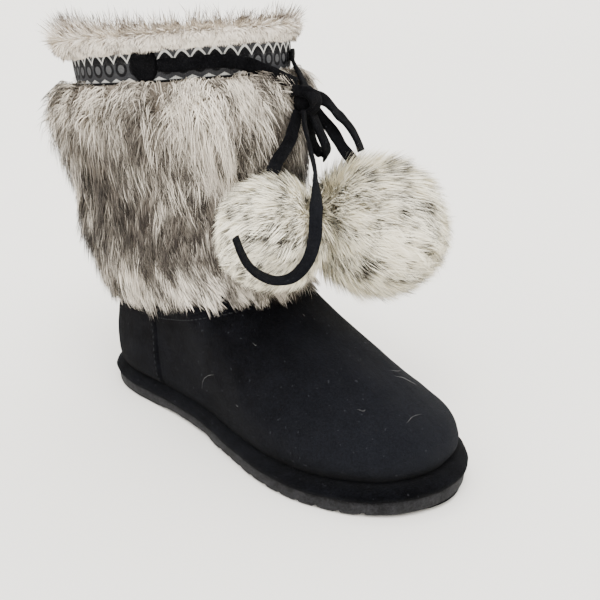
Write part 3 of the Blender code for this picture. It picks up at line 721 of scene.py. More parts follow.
# Lint fibres: points in shares of a turn and in metres over the upper's foot
FIBRES = (
    ((0.2354, 0.0144), (0.2421, 0.0216), (0.2562, 0.0291), (0.2770, 0.0349)),
    ((0.5462, 0.0423), (0.5620, 0.0404), (0.5780, 0.0389)),
    ((0.5394, 0.0411), (0.5584, 0.0383), (0.5761, 0.0333)),
    ((0.4727, 0.0293), (0.4917, 0.0307), (0.5107, 0.0301)),
    ((0.3660, 0.0520), (0.3675, 0.0513), (0.3700, 0.0515)),
    ((0.4844, 0.0583), (0.4850, 0.0578)),
    ((0.2904, 0.0240), (0.2930, 0.0234), (0.2950, 0.0242)),
    ((0.4300, 0.0360), (0.4345, 0.0352), (0.4400, 0.0358)),
    ((0.7100, 0.0300), (0.7200, 0.0340), (0.7340, 0.0350)),
    ((0.6200, 0.0420), (0.6260, 0.0400), (0.6330, 0.0405)),
)


def lint_finish():
    """Pale fibres caught on the nap."""
    made = Finish("pale_lint", roughness=0.8)
    shade = made.noise(0.004, 1.0, 0.5)
    made.feed(base_color=made.ramp(shade, (0.3, (0.10, 0.10, 0.10)), (0.7, (0.30, 0.29, 0.28))))
    return made.material


FLOOR_COLOUR = (0.93, 0.905, 0.85)


def floor_finish():
    """Plain pale backdrop paper."""
    made = Finish("backdrop", roughness=0.9, specular_ior_level=0.1)
    grain = made.noise(0.4, 1.0, 0.5)
    paler = tuple(1.005 * part for part in FLOOR_COLOUR)
    made.feed(base_color=made.ramp(grain, (0.0, FLOOR_COLOUR), (1.0, paler)))
    return made.material


def sheet(columns, rows, place):
    """A grid of quads on the points that place() gives from across and up, joined where its edges meet."""
    mesh = bmesh.new()
    mesh.loops.layers.uv.new("UVMap")
    bmesh.ops.create_grid(mesh, x_segments=columns, y_segments=rows, size=0.5, calc_uvs=True)
    flat = np.array([vert.co[:2] for vert in mesh.verts]) + 0.5
    for vert, point in zip(mesh.verts, place(flat[:, 0], flat[:, 1])):
        vert.co = point
    bmesh.ops.remove_doubles(mesh, verts=mesh.verts, dist=1e-6)
    bmesh.ops.dissolve_degenerate(mesh, edges=mesh.edges, dist=1e-7)
    return mesh


def placed(name, data, material, slot, *nodes):
    """Ends a mesh as a named piece that rides with the boot and stands for these nodes."""
    made = bpy.data.objects.new(name, data)
    bpy.context.scene.collection.objects.link(made)
    data.materials.append(material)
    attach(made, "root")
    if nodes:
        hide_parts(*nodes)
    return made


def piece(name, mesh, material, slot, *nodes, sharp=60):
    """Ends a bmesh as a smoothly shaded piece."""
    bmesh.ops.recalc_face_normals(mesh, faces=mesh.faces)
    data = bpy.data.meshes.new(name)
    mesh.to_mesh(data)
    mesh.free()
    data.shade_smooth()
    data.set_sharp_from_angle(angle=math.radians(sharp))
    return placed(name, data, material, slot, *nodes)


def unit(vectors):
    """Ways of length 1."""
    tiny = 1e-9
    return vectors / np.maximum(np.linalg.norm(vectors, axis=-1), tiny)[..., None]


def ball_ways(across, up):
    """Ways out of a ball, at shares of a turn and of the way from its lowest point to its highest."""
    turn, tilt = 2 * math.pi * across, math.pi * up
    flat = np.where((up == 0) | (up == 1), 0, np.sin(tilt))
    return np.stack([flat * np.cos(turn), flat * np.sin(turn), -np.cos(tilt)], axis=1)


def noise_field(points, size, seed):
    """A smooth irregular value near -1 to 1 at points in space."""
    spin = np.random.default_rng(seed)
    value = np.zeros(len(points))
    waves = 7
    for _ in range(waves):
        way = spin.normal(size=3)
        way *= 2 * math.pi / size / np.linalg.norm(way) * spin.uniform(0.6, 1.5)
        value += np.sin(points @ way + spin.uniform(0, 2 * math.pi))
    return value / math.sqrt(waves)


def on_side(x, z, side):
    """The place around and the rise of points of the upper, from its side view."""
    x, z = np.asarray(x, dtype=float), np.asarray(z, dtype=float)
    low, high = np.zeros_like(x), np.full_like(x, COLLAR_EDGE)
    halvings = 30
    for _ in range(halvings):
        rise = (low + high) / 2
        back, front = (smooth(SECTIONS, name, rise) for name in ("back", "front"))
        along = np.clip((x + HEEL_SEAT - back) / (front - back), 0, 1)
        foot_z, front_z = (smooth(SECTIONS, name, rise) for name in ("rise", "front_rise"))
        found = UPPER_FOOT + foot_z + (front_z - foot_z) * along + spring(x)
        low, high = np.where(found < z, rise, low), np.where(found < z, high, rise)
    around = np.arccos(1 - 2 * along) / (2 * math.pi)
    return np.where(side < 0, around, 1 - around), rise


class Crease(NamedTuple):
    """A soft trough, or a ridge where its depth is negative, between two points of a side view in metres."""

    side: int
    x0: float
    z0: float
    x1: float
    z1: float
    width: float
    depth: float


CREASES = (
    Crease(-1, -0.020, 0.078, 0.020, 0.070, 0.0045, 0.0010),
    Crease(-1, -0.028, 0.062, 0.000, 0.055, 0.0050, 0.0006),
    Crease(-1, 0.040, 0.068, 0.085, 0.066, 0.0060, 0.0008),
    Crease(-1, 0.062, 0.078, 0.112, 0.072, 0.0050, -0.0006),
    Crease(-1, 0.085, 0.060, 0.118, 0.040, 0.0070, 0.0007),
    Crease(-1, 0.120, 0.058, 0.135, 0.036, 0.0070, 0.0006),
    Crease(-1, 0.060, 0.040, 0.120, 0.024, 0.0080, 0.0006),
    Crease(1, -0.020, 0.076, 0.020, 0.068, 0.0045, 0.0010),
    Crease(1, 0.045, 0.070, 0.090, 0.066, 0.0060, 0.0008),
    Crease(1, 0.085, 0.062, 0.115, 0.042, 0.0070, 0.0008),
    Crease(1, 0.122, 0.058, 0.138, 0.038, 0.0070, 0.0006),
    Crease(1, 0.055, 0.042, 0.110, 0.026, 0.0080, 0.0006),
)
UPPER_TUCK = 0.0012
UPPER_TUCK_HEIGHT = 0.004


def relief(around, rise):
    """How far the worn suede lies from the clean form: listed creases, and slight unevenness."""
    points = upper_surface(around, rise)
    side = np.where(around % 1.0 < 0.5, -1, 1)
    broad, fine = 0.00030, 0.00008
    out = broad * noise_field(points, 0.032, 3) + fine * noise_field(points, 0.009, 4)
    flat = points[:, [0, 2]]
    for crease in CREASES:
        start, end = np.array([crease.x0, crease.z0]), np.array([crease.x1, crease.z1])
        way = end - start
        share = np.clip(((flat - start) @ way) / (way @ way), 0, 1)
        apart = np.linalg.norm(flat - start - share[:, None] * way, axis=1)
        fade = np.sin(math.pi * np.clip(share, 0.08, 0.92)) ** 0.7
        out -= np.where(side == crease.side, crease.depth * fade * np.exp(-((apart / crease.width) ** 2)), 0)
    return out - UPPER_TUCK * np.exp(-((rise / UPPER_TUCK_HEIGHT) ** 2))


def upper(suede):
    """Foot and shaft of suede, over the same sections as the solid, with the wall's inside."""
    foot_rows, shaft_rows, inner_rows = 70, 11, 15
    low, high = np.linspace(0, 0.42, foot_rows), np.linspace(0.45, 1, shaft_rows)
    rises = np.concatenate([low, high, np.linspace(1, 0, inner_rows), [0.0]])
    rows = len(rises) - 1
    edge = foot_rows + shaft_rows - 1
    wall = 0.0018

    def place(across, up):
        step = np.round(up * rows).astype(int)
        rise = rises[step] * COLLAR_EDGE
        out = np.where((step > edge) & (step < rows), -wall, 0.0)
        return skin(across, rise, out + relief(across, rise))

    return piece("upper_suede", sheet(240, rows, place), suede, "black_suede", "upper", sharp=70)


def lining(fleece):
    """Fleece that lines the shaft and lies on the footbed."""
    inner, outer, thick, curl = -0.0032, -0.0021, 0.0052, 0.0006
    steps = ((0.0, -1.0), (0.12, 0.0), (0.52, 1.0), (0.55, 1.0), (0.88, 0.0), (1.0, -1.0))
    ups, shares = np.array(steps).T
    turned, below_edge, behind, footbed = 0.535, 0.001, 0.0005, 0.02

    def place(across, up):
        share = np.interp(up, ups, shares)
        inside = up < turned
        rise = np.clip(share, 0, 1) * (COLLAR_EDGE - below_edge)
        rise = rise + np.where(inside, thick, behind) * (share < footbed)
        out = np.where(inside, inner, outer)
        points = upper_surface(across, rise)
        bumps = np.where(inside & (share < 1), curl * np.abs(noise_field(points, 0.007, 9)), 0)
        wall = skin(across, rise, out - bumps)
        other = skin(1 - across, rise, out - bumps)
        inward = np.clip(-share, 0, 1)[:, None] / 2
        return wall * (1 - inward) + other * inward

    return piece("fleece_lining", sheet(160, 100, place), fleece, "black_fleece", "insole", sharp=80)


def counter_front(rise):
    """The back panel's front edge at a height over the upper's foot."""
    return COUNTER_REACH - HEEL_SEAT - (COUNTER_REACH - COUNTER_TOP_REACH) * rise / COUNTER_RISE


def counter(suede):
    """The back panel with a rounded edge, laid over the upper."""
    side_edge, top_edge, sunk, start = 0.035, 0.04, 0.0001, 0.0002

    def place(across, up):
        rise = start + up * COUNTER_RISE
        back, front = (smooth(SECTIONS, name, rise) for name in ("back", "front"))
        along = (counter_front(rise) + HEEL_SEAT - back) / (front - back)
        reach = np.arccos(1 - 2 * along) / (2 * math.pi)
        middle = across * 2 - 1
        edge = np.minimum((1 - np.abs(middle)) / side_edge, np.minimum(up, 1 - up) / top_edge)
        rounded = np.sin(math.pi / 2 * np.clip(edge, 0, 1)) ** 0.5
        out = (CLEARANCE + COUNTER_THICKNESS) * rounded - sunk
        around = (-middle * reach) % 1.0
        return skin(around, rise, out + relief(around, rise))

    return piece("heel_panel", sheet(200, 60, place), suede, "black_suede", "heel_counter", sharp=70)


class SeamPoint(NamedTuple):
    """The vamp's top seam in side view, in shares of the sole's length and of the instep's height."""

    along: float
    rise: float


VAMP_SEAM = (
    SeamPoint(0.2695, 0.520),
    SeamPoint(0.340, 0.575),
    SeamPoint(0.400, 0.630),
    SeamPoint(0.460, 0.690),
    SeamPoint(0.520, 0.750),
)
SEAM_WIDTH = 0.0035
SEAM_THICKNESS = 0.0012


def seam_line(side, count):
    """Places around and rises along the vamp's top seam, from the back panel to the front."""
    table = np.array(VAMP_SEAM)
    x = table[:, 0] * SOLE_LENGTH - HEEL_SEAT
    z = UPPER_FOOT + table[:, 1] * INSTEP_HEIGHT
    x, _, z = route(np.stack([x, 0 * x, z], axis=1), count).T
    return on_side(x, z, side)


def seam(suede):
    """The raised strip where the vamp meets the shaft, round the front of the leg."""
    lateral, medial = seam_line(-1, 60), seam_line(1, 60)
    around = np.concatenate([lateral[0], [0.5], medial[0][::-1]])
    rise = np.concatenate([lateral[1], [lateral[1][-1]], medial[1][::-1]])
    places = np.linspace(0, 1, len(around))
    end_share = 0.01

    def place(across, up):
        turn = 2 * math.pi * across
        middle_around, middle_rise = np.interp(up, places, around), np.interp(up, places, rise)
        end = np.sqrt(np.clip(np.minimum(up, 1 - up) / end_share, 0, 1))
        height = middle_rise + SEAM_WIDTH / 2 * np.cos(turn) * end
        out = SEAM_THICKNESS * np.sin(turn) * end
        return skin(middle_around, height, CLEARANCE + out + relief(middle_around, height))

    return piece("vamp_seam_strip", sheet(12, 160, place), suede, "black_suede", "vamp_seam", sharp=80)


def stitches(thread):
    """Rows of short stitches along the back panel's front edge and the vamp's top seam."""
    mesh = bmesh.new()
    pitch, inset, stitch = 0.0042, 0.0032, (0.0013, 0.00042, 0.00035)
    rows = []
    for side in (-1, 1):
        z = np.arange(UPPER_FOOT + 0.004, UPPER_FOOT + COUNTER_RISE - 0.008, pitch)
        x = counter_front(z - UPPER_FOOT) - inset
        rows.append((*on_side(x, z, side), CLEARANCE + COUNTER_THICKNESS))
        around, rise = seam_line(side, 26)
        for shift in (-inset, inset):
            rows.append((around[1:], rise[1:] + shift, 0.0))
    for around, rise, out in rows:
        points = skin(around, rise, out + relief(around, rise))
        ways, outs = unit(np.gradient(points, axis=0)), outward(around, rise)
        for point, way, normal in zip(points, ways, outs):
            across = np.cross(normal, way)
            turn = Matrix((way, across, normal)).transposed().to_4x4()
            size = Matrix.Diagonal((*stitch, 1))
            matrix = Matrix.Translation(Vector(point)) @ turn @ size
            bmesh.ops.create_uvsphere(mesh, u_segments=6, v_segments=4, radius=1, matrix=matrix)
    return piece("stitches", mesh, thread, "black_suede", sharp=90)


def waist(x):
    """How far the underside arches between the heel and the ball."""
    heel_end, ball_start, slope = 0.27, 0.46, 0.04
    along = (x + HEEL_SEAT) / SOLE_LENGTH
    return WAIST_ARCH * ease((along - heel_end) / slope) * (1 - ease((along - ball_start) / slope))


GROOVE_WIDTH = 0.0026
GROOVE_DEPTH = 0.0014
GROOVE_PITCH = 0.0115


def groove(x, y_share):
    """How deep the tread's grooves are at places along the sole, and shares of the way to its middle."""
    middle, heel_first, ball_first, heel_border, slope = 0.4, 0.06, 0.53, 0.2, 0.001
    along = (x + HEEL_SEAT) / SOLE_LENGTH
    first = np.where(along < middle, heel_first, ball_first)
    run = (along - first) * SOLE_LENGTH / GROOVE_PITCH
    apart = np.abs(run - np.round(run)) * GROOVE_PITCH
    there = ((along > 0.05) & (along < 0.26)) | ((along > 0.52) & (along < 0.94))
    inside = np.where(along < middle, y_share > heel_border, True)
    return np.where(there & inside, GROOVE_DEPTH * ease((GROOVE_WIDTH / 2 + slope / 2 - apart) / slope), 0)


def across_sole(across, share, inset):
    """Points of the sole's outline at zero height, drawn in by inset, a share of the way to its middle."""
    near, far = sole_edge(across, inset), sole_edge(1 - across, inset)
    return near * (1 - share / 2)[:, None] + far * (share / 2)[:, None]


class Layer(NamedTuple):
    """A row of points round the sole: a share of the way to its middle, an inset and a height in metres."""

    share: float
    inset: float
    height: float


def outsole(rubber):
    """The rubber unit with a rounded lower edge, an arched waist and cross grooves that nick its edge."""
    rows = (
        Layer(1.0, 0.0, 0.0),
        Layer(0.8, 0.0, 0.0),
        Layer(0.5, 0.0, 0.0),
        Layer(0.25, 0.0, 0.0),
        Layer(0.15, 0.0, 0.0),
        Layer(0.0, 0.0020, 0.0000),
        Layer(0.0, 0.0011, 0.0003),
        Layer(0.0, 0.0004, 0.0010),
        Layer(0.0, 0.0000, 0.0022),
        Layer(0.0, 0.0000, 0.0045),
        Layer(0.0, 0.0001, 0.0070),
        Layer(0.0, 0.0006, 0.0082),
        Layer(0.0, 0.0014, OUTSOLE_HEIGHT),
        Layer(0.3, 0.0014, OUTSOLE_HEIGHT),
        Layer(1.0, 0.0014, OUTSOLE_HEIGHT),
    )
    table = np.array(rows)
    tread_rows, scuffed_from, scuffed_to = 7, 6, 11
    grain, scuff_depth = [1, 1, 3], 0.00025

    def place(across, up):
        step = np.round(up * (len(rows) - 1)).astype(int)
        share, inset, height = table[step].T
        points = across_sole(across, share, inset)
        arch = (1 - height / OUTSOLE_HEIGHT) * waist(points[:, 0])
        cut = np.where(step <= tread_rows, groove(points[:, 0], share), 0)
        scuffed = (step >= scuffed_from) & (step <= scuffed_to)
        scuff = scuff_depth * noise_field(points * grain, 0.012, 21) * scuffed
        points[:, 2] = height + spring(points[:, 0]) + arch + cut
        points[:, 1] += scuff
        return points

    return piece("rubber_sole", sheet(560, len(rows) - 1, place), rubber, "dark_rubber", "outsole", sharp=45)


def rand(suede):
    """The half-round edge between rubber and upper, wrapped in suede."""
    base = OUTSOLE_HEIGHT + 0.0001
    steps = 12
    under, first_inset, lip_from = 0.003, 0.0004, 0.4
    broad, fine = 0.00022, 0.0001
    rows = [Layer(1.0, under, base), Layer(0.3, under, base)]
    for i in range(steps + 1):
        share = i / steps
        lip = RAND_LIP * float(ease((share - lip_from) / (1 - lip_from)))
        bulge = RAND_BULGE * math.sin(math.pi * share) - lip
        height = base + RAND_HEIGHT * (1 - math.cos(math.pi * share)) / 2
        rows.append(Layer(0.0, -bulge + first_inset * (i == 0), height))
    rows += [Layer(0.3, RAND_LIP, base + RAND_HEIGHT), Layer(1.0, RAND_LIP, base + RAND_HEIGHT)]
    table = np.array(rows)

    def place(across, up):
        step = np.round(up * (len(rows) - 1)).astype(int)
        share, inset, height = table[step].T
        points = across_sole(across, share, inset)
        points[:, 2] = height + spring(points[:, 0])
        side = (share == 0)[:, None]
        lumps = broad * noise_field(points, 0.016, 31) + fine * noise_field(points, 0.005, 32)
        away = (points - [SOLE_LENGTH / 2 - HEEL_SEAT, 0, 0]) * [1, 1, 0]
        return points + unit(away) * lumps[:, None] * side

    return piece("suede_rand", sheet(360, len(rows) - 1, place), suede, "black_suede", "midsole", sharp=60)


def ribbon(woven):
    """The woven band round the top of the shaft."""
    edge_drop, unevenness = 0.0004, 0.0003
    inside = RIBBON_ROWS - RIBBON_STEPS
    rises = np.concatenate([np.linspace(0, 1, RIBBON_STEPS + 1), np.linspace(1, 0, inside - 1), [0.0]])
    outs = np.full(RIBBON_ROWS + 1, RIBBON_OUT)
    outs[RIBBON_STEPS + 1 : RIBBON_ROWS] = CLEARANCE
    outs[0] = outs[RIBBON_STEPS] = RIBBON_OUT - edge_drop

    def place(across, up):
        step = np.round(up * RIBBON_ROWS).astype(int)
        step = np.where(step == RIBBON_ROWS, 0, step)
        rise = RIBBON_FOOT + rises[step] * RIBBON_HEIGHT
        wave = unevenness * noise_field(upper_surface(across, rise), 0.03, 41)
        return skin(across, rise, outs[step] + wave)

    return piece("woven_band", sheet(300, RIBBON_ROWS, place), woven, "woven_ribbon", "ribbon", sharp=60)


def tab(name, side, suede):
    """A suede oval on the ribbon, from under which the lace comes. Side is -1 lateral and 1 medial."""
    middle = (RIBBON_FOOT + RIBBON_TOP) / 2
    back, front = (float(smooth(SECTIONS, column, middle)) for column in ("back", "front"))
    centre = math.acos(1 - 2 * (TAB_PLACE - back) / (front - back)) / (2 * math.pi)
    centre = centre if side < 0 else 1 - centre
    step = 0.001
    ends = upper_surface(np.array([centre - step, centre + step]), np.full(2, middle))
    turn_length = np.linalg.norm(ends[1] - ends[0]) / (2 * step)
    thick = 0.0019

    def place(across, up):
        turn = 2 * math.pi * across
        reach = np.interp(up, [0, 0.12, 0.7, 1], [0.97, 1, 0.7, 0])
        out = RIBBON_OUT + thick * np.interp(up, [0, 0.12, 0.3, 0.45, 1], [-0.1, 0.45, 0.9, 1.0, 0.9])
        around = centre + reach * np.cos(turn) * TAB_WIDTH / 2 / turn_length
        return skin(around, middle + reach * np.sin(turn) * (RIBBON_HEIGHT / 2 + 0.0004), out)

    node = "lace_tab_lateral" if side < 0 else "lace_tab_medial"
    return piece(name, sheet(48, 14, place), suede, "black_suede", node, sharp=80)


def flat_section(round_it, width, thickness):
    """A flat lace's rounded section: how far its points lie across it, and out of its face."""
    angle, corner = 2 * math.pi * round_it, 0.6
    flat = np.sign(np.cos(angle)) * np.abs(np.cos(angle)) ** corner * width / 2
    thin = np.sign(np.sin(angle)) * np.abs(np.sin(angle)) ** corner * thickness / 2
    return flat[:, None], thin[:, None]


def lace(name, points, turns, suede, node):
    """A flat lace along a route, with its face away from the leg where it isn't turned."""
    count = len(points)
    leg = np.array([COLLAR_LENGTH / 2 - HEEL_SEAT, 0, 0])
    ways = unit(np.gradient(points, axis=0))
    faces = (points - leg) * [1, 1, 0]
    faces = unit(faces - ways * np.sum(faces * ways, axis=1)[:, None])
    across = np.cross(ways, faces)
    turn, unevenness = np.radians(turns)[:, None], 0.06
    faces, across = faces * np.cos(turn) + across * np.sin(turn), across * np.cos(turn) - faces * np.sin(turn)

    def place(round_it, up):
        step = np.round(up * (count + 1)).astype(int)
        held = np.clip(step - 1, 0, count - 1)
        full = np.where((step == 0) | (step == count + 1), 0.0, 1.0)[:, None]
        flat, thin = flat_section(round_it, LACE_WIDTH, LACE_THICKNESS)
        uneven = 1 + unevenness * noise_field(points[held], 0.012, 51)
        return points[held] + (across[held] * flat * uneven[:, None] + faces[held] * thin) * full

    return piece(name, sheet(14, count + 1, place), suede, "black_suede", node, sharp=70)


def hanging(table, start=None):
    """The points and turns of a free lace's route, from inside the knot where a start is given."""
    rows = [list(row) for row in table]
    if start is not None:
        rows.insert(0, [*start, rows[0][3]])
    smoothed = route(rows, 4 * len(rows))
    return smoothed[:, :3], smoothed[:, 3]


def lace_on_boot(name, table, suede, node):
    """A run of the lace that lies on the ribbon and leaves it for the knot."""
    around, height, out = np.array(table).T
    rise = RIBBON_FOOT + RIBBON_HEIGHT * height
    points = route(skin(around, rise, RIBBON_OUT + 2 * CLEARANCE + LACE_THICKNESS / 2 + out), 60)
    return lace(name, points, np.zeros(len(points)), suede, node)


KNOT_SIZE = (0.0125, 0.0145, 0.0170)


def knot(suede):
    """The knot: a lump with the lace laid round it."""
    share, uneven = 0.92, 0.10

    def place(across, up):
        way = ball_ways(across, up)
        wave = np.cos(4 * math.pi * across) * np.sin(math.pi * up)
        lumps = 1 + uneven * np.sin(3 * way[:, 2] + 2 * way[:, 1]) * wave
        return np.array(KNOT_CENTRE) + way * lumps[:, None] * np.array(KNOT_SIZE) / 2 * share

    return piece("knot_core", sheet(40, 24, place), suede, "black_suede", "lace_knot", sharp=80)


def knot_wraps(suede):
    """Turns of lace round the knot."""
    made = []
    for name, tilt, shift, size in (
        ("knot_wrap_front", 25, (0.0006, -0.002, 0.0005), (0.0072, 0.0064)),
        ("knot_wrap_low", -35, (0.0004, 0.0015, -0.0020), (0.0068, 0.0072)),
        ("knot_wrap_top", 70, (0.0, 0.0, 0.0030), (0.0066, 0.0078)),
    ):
        turn = np.linspace(0, 2 * math.pi, 40, endpoint=False)
        ring = np.stack([size[0] * np.cos(turn), 0 * turn, size[1] * np.sin(turn)], axis=1)
        spin = np.array(Matrix.Rotation(math.radians(tilt), 3, "X"))
        points = np.array(KNOT_CENTRE) + ring @ spin.T + shift
        made.append(wrap(name, points, np.array(KNOT_CENTRE) + shift, suede))
    return made


def wrap(name, points, centre, suede):
    """One closed turn of lace, with its face away from the centre."""
    count = len(points)
    width, thickness = 0.0062, 0.0020
    ways = unit(np.roll(points, -1, axis=0) - np.roll(points, 1, axis=0))
    faces = unit(points - centre)
    across = np.cross(ways, faces)

    def place(round_it, up):
        held = np.round(up * count).astype(int) % count
        flat, thin = flat_section(round_it, width, thickness)
        return points[held] + across[held] * flat + faces[held] * thin

    return piece(name, sheet(12, count, place), suede, "black_suede", sharp=80)


HAIR_TAPER = (0.75, 1.0, 0.8)


def hairs(name, finish, roots, outs, starts, ends, lengths, widths, tones, drift):
    """Joins many hairs in one piece: strips that taper to a tip and bend from one way to another.

    Starts and ends are the ways at root and tip. Drift moves each tip, towards its lock's.
    """
    count, bands = len(roots), len(HAIR_TAPER)
    levels = np.linspace(0, 1, bands + 1)[:, None, None]
    starts, ends = unit(starts), unit(ends)
    bent = starts * (levels - levels**2 / 2) + ends * levels**2 / 2
    path = roots + lengths[:, None] * bent + drift * levels**2
    ways = unit(starts * (1 - levels) + ends * levels)
    twist = random.normal(0, 0.5, (count, 1))
    across = unit(np.cross(ways, outs))
    facing = np.cross(across, ways)
    across = across * np.cos(twist) + facing * np.sin(twist)
    taper = np.array(HAIR_TAPER)[:, None, None]
    half = across[:bands] * widths[:, None] / 2 * taper
    corners = np.stack([path[:bands] - half, path[:bands] + half], axis=1).reshape(2 * bands, count, 3)
    points = np.concatenate([corners, path[bands:]]).transpose(1, 0, 2)
    per_hair = 2 * bands + 1
    faces = [[2 * i, 2 * i + 1, 2 * i + 3, 2 * i + 2] for i in range(bands - 1)]
    faces.append([2 * bands - 2, 2 * bands - 1, 2 * bands])
    first = np.arange(count)[:, None] * per_hair
    loops = (first + np.concatenate(faces)).ravel()
    sizes = np.array([len(face) for face in faces])
    begins = np.concatenate([[0], np.cumsum(sizes)[:-1]])
    data = bpy.data.meshes.new(name)
    data.vertices.add(count * per_hair)
    data.vertices.foreach_set("co", points.ravel())
    data.loops.add(len(loops))
    data.loops.foreach_set("vertex_index", loops.astype(np.int32))
    data.polygons.add(count * bands)
    starts_at = (np.arange(count)[:, None] * sizes.sum() + begins).ravel()
    data.polygons.foreach_set("loop_start", starts_at.astype(np.int32))
    data.update(calc_edges=True)
    data.shade_smooth()
    colour = np.zeros((count, per_hair, 4))
    colour[..., 0] = tones[:, None]
    along = np.repeat(np.linspace(0, 1, bands + 1), 2)[:per_hair]
    colour[..., 1] = along
    colour[..., 3] = 1
    data.attributes.new("hair", "FLOAT_COLOR", "POINT").data.foreach_set("color", colour.ravel())
    facing = unit(np.cross(across, ways))
    shading = unit(facing * 0.45 + outs * 0.75)
    shading = np.concatenate([np.repeat(shading[:bands], 2, axis=0), shading[bands:]]).transpose(1, 0, 2)
    data.normals_split_custom_set_from_vertices(shading.reshape(-1, 3))
    return placed(name, data, finish, "grey_fur")


def blend(*parts):
    """A sum of ways, each times a number or a number for each hair."""
    return sum(way * np.reshape(weight, (-1, 1)) for way, weight in parts)


class Locks:
    """Hairs in locks: each lock's middle in the unit square, and each hair's lock and place across it."""

    def __init__(self, count, each):
        self.each = each
        self.middles = random.uniform(0, 1, (count, 2))
        self.member = np.repeat(np.arange(count), each)
        self.spread = random.normal(0, 1, (count * each, 2))

    def even(self, low, high):
        """A number for each hair that its lock shares, from low to high."""
        return random.uniform(low, high, len(self.middles))[self.member]

    def bell(self, middle, spread):
        """A number for each hair that its lock shares, around a middle."""
        return random.normal(middle, spread, len(self.middles))[self.member]

    def each_even(self, low, high):
        """A number for each hair by itself, from low to high."""
        return random.uniform(low, high, len(self.member))

    def each_bell(self, spread):
        """A number for each hair by itself, around 0."""
        return random.normal(0, spread, len(self.member))

    def to_middle(self, roots):
        """The way from each root to the middle of its lock's roots."""
        middles = roots.reshape(-1, self.each, 3).mean(axis=1)
        return middles[self.member] - roots


# Shares of the sleeve's height, and how deep its pile is there as a share of its full depth
SLEEVE_PILE = (
    (0.00, 0.12),
    (0.12, 0.36),
    (0.35, 0.66),
    (0.62, 0.86),
    (0.84, 1.00),
    (0.94, 0.90),
    (1.00, 0.50),
)


def backward(around):
    """1 behind the leg and 0 in front of it."""
    return (1 + np.cos(2 * math.pi * around)) / 2


def sleeve_point(around, height, share):
    """A point in the sleeve's pile: a share of its height, and a share of its depth."""
    hem = HEM_RISE + (HEM_FRONT_RISE - HEM_RISE) * (1 - backward(around))
    head = RIBBON_FOOT - CLEARANCE
    places, depths = np.array(SLEEVE_PILE).T
    depth = SLEEVE_FRONT + (SLEEVE_BACK - SLEEVE_FRONT) * backward(around)
    depth = depth * curve(places, depths, height)
    ease_left = CLEARANCE + SLEEVE_EASE
    return skin(around, hem + (head - hem) * height, ease_left + depth * share)


def underfur(finish):
    """The dense fur under the sleeve's hairs."""
    rows, outer = 40, 30
    low, inner_share, outer_share = 0.02, -0.02, 0.62

    def place(across, up):
        step = np.round(up * rows).astype(int)
        height = np.interp(step, [0, outer, outer + 1, rows - 1, rows], [low, 1.0, 1.0, low, low])
        share = np.where((step > outer) & (step < rows), inner_share, outer_share)
        return sleeve_point(across, height, share)

    return piece("fur_underlay", sheet(160, rows, place), finish, "grey_fur", "fur_shaft", sharp=90)


def lint(finish):
    """Short pale fibres that lie on the suede."""
    joined = bmesh.new()
    steps, thick, over = 14, 0.00007, 0.0004
    for fibre in FIBRES:
        around, rise = np.array(fibre).T
        around, rise = route(np.stack([around, rise, 0 * rise], axis=1), steps + 1)[:, :2].T
        points = skin(around, rise, over + relief(around, rise))
        ways, outs = unit(np.gradient(points, axis=0)), outward(around, rise)
        across = np.cross(ways, outs)

        def place(round_it, up, points=points, outs=outs, across=across):
            step = np.round(up * steps).astype(int)
            turn = 2 * math.pi * round_it[:, None]
            full = np.sin(math.pi * np.clip(up, 0.1, 0.9))[:, None] * ((step > 0) & (step < steps))[:, None]
            return points[step] + (across[step] * np.cos(turn) + outs[step] * np.sin(turn)) * thick * full

        tube = sheet(4, steps, place)
        data = bpy.data.meshes.new("fibre")
        tube.to_mesh(data)
        tube.free()
        joined.from_mesh(data)
        bpy.data.meshes.remove(data)
    return piece("lint_fibres", joined, finish, "black_suede", sharp=90)


class Patch(NamedTuple):
    """A paler or, where its shade is negative, darker patch of the sleeve."""

    around: float
    height: float
    width: float
    tall: float
    shade: float


PATCHES = (
    Patch(0.15, 0.40, 0.035, 0.14, -0.45),
    Patch(0.235, 0.72, 0.035, 0.13, -0.40),
    Patch(0.285, 0.42, 0.045, 0.20, -0.50),
    Patch(0.33, 0.80, 0.020, 0.10, -0.25),
    Patch(0.39, 0.40, 0.030, 0.15, -0.30),
    Patch(0.176, 0.95, 0.030, 0.10, 0.45),
    Patch(0.265, 0.96, 0.020, 0.12, 0.45),
    Patch(0.40, 0.94, 0.060, 0.12, 0.50),
    Patch(0.40, 0.67, 0.025, 0.08, 0.35),
    Patch(0.22, 0.20, 0.060, 0.10, 0.25),
    Patch(0.30, 0.04, 0.200, 0.10, 0.35),
    Patch(0.60, 0.55, 0.035, 0.18, -0.45),
    Patch(0.70, 0.75, 0.040, 0.13, -0.35),
    Patch(0.78, 0.40, 0.045, 0.16, -0.50),
    Patch(0.90, 0.60, 0.040, 0.15, -0.40),
    Patch(0.98, 0.35, 0.035, 0.14, -0.35),
    Patch(0.66, 0.94, 0.060, 0.12, 0.45),
    Patch(0.85, 0.92, 0.050, 0.12, 0.40),
    Patch(0.74, 0.05, 0.200, 0.10, 0.35),
)


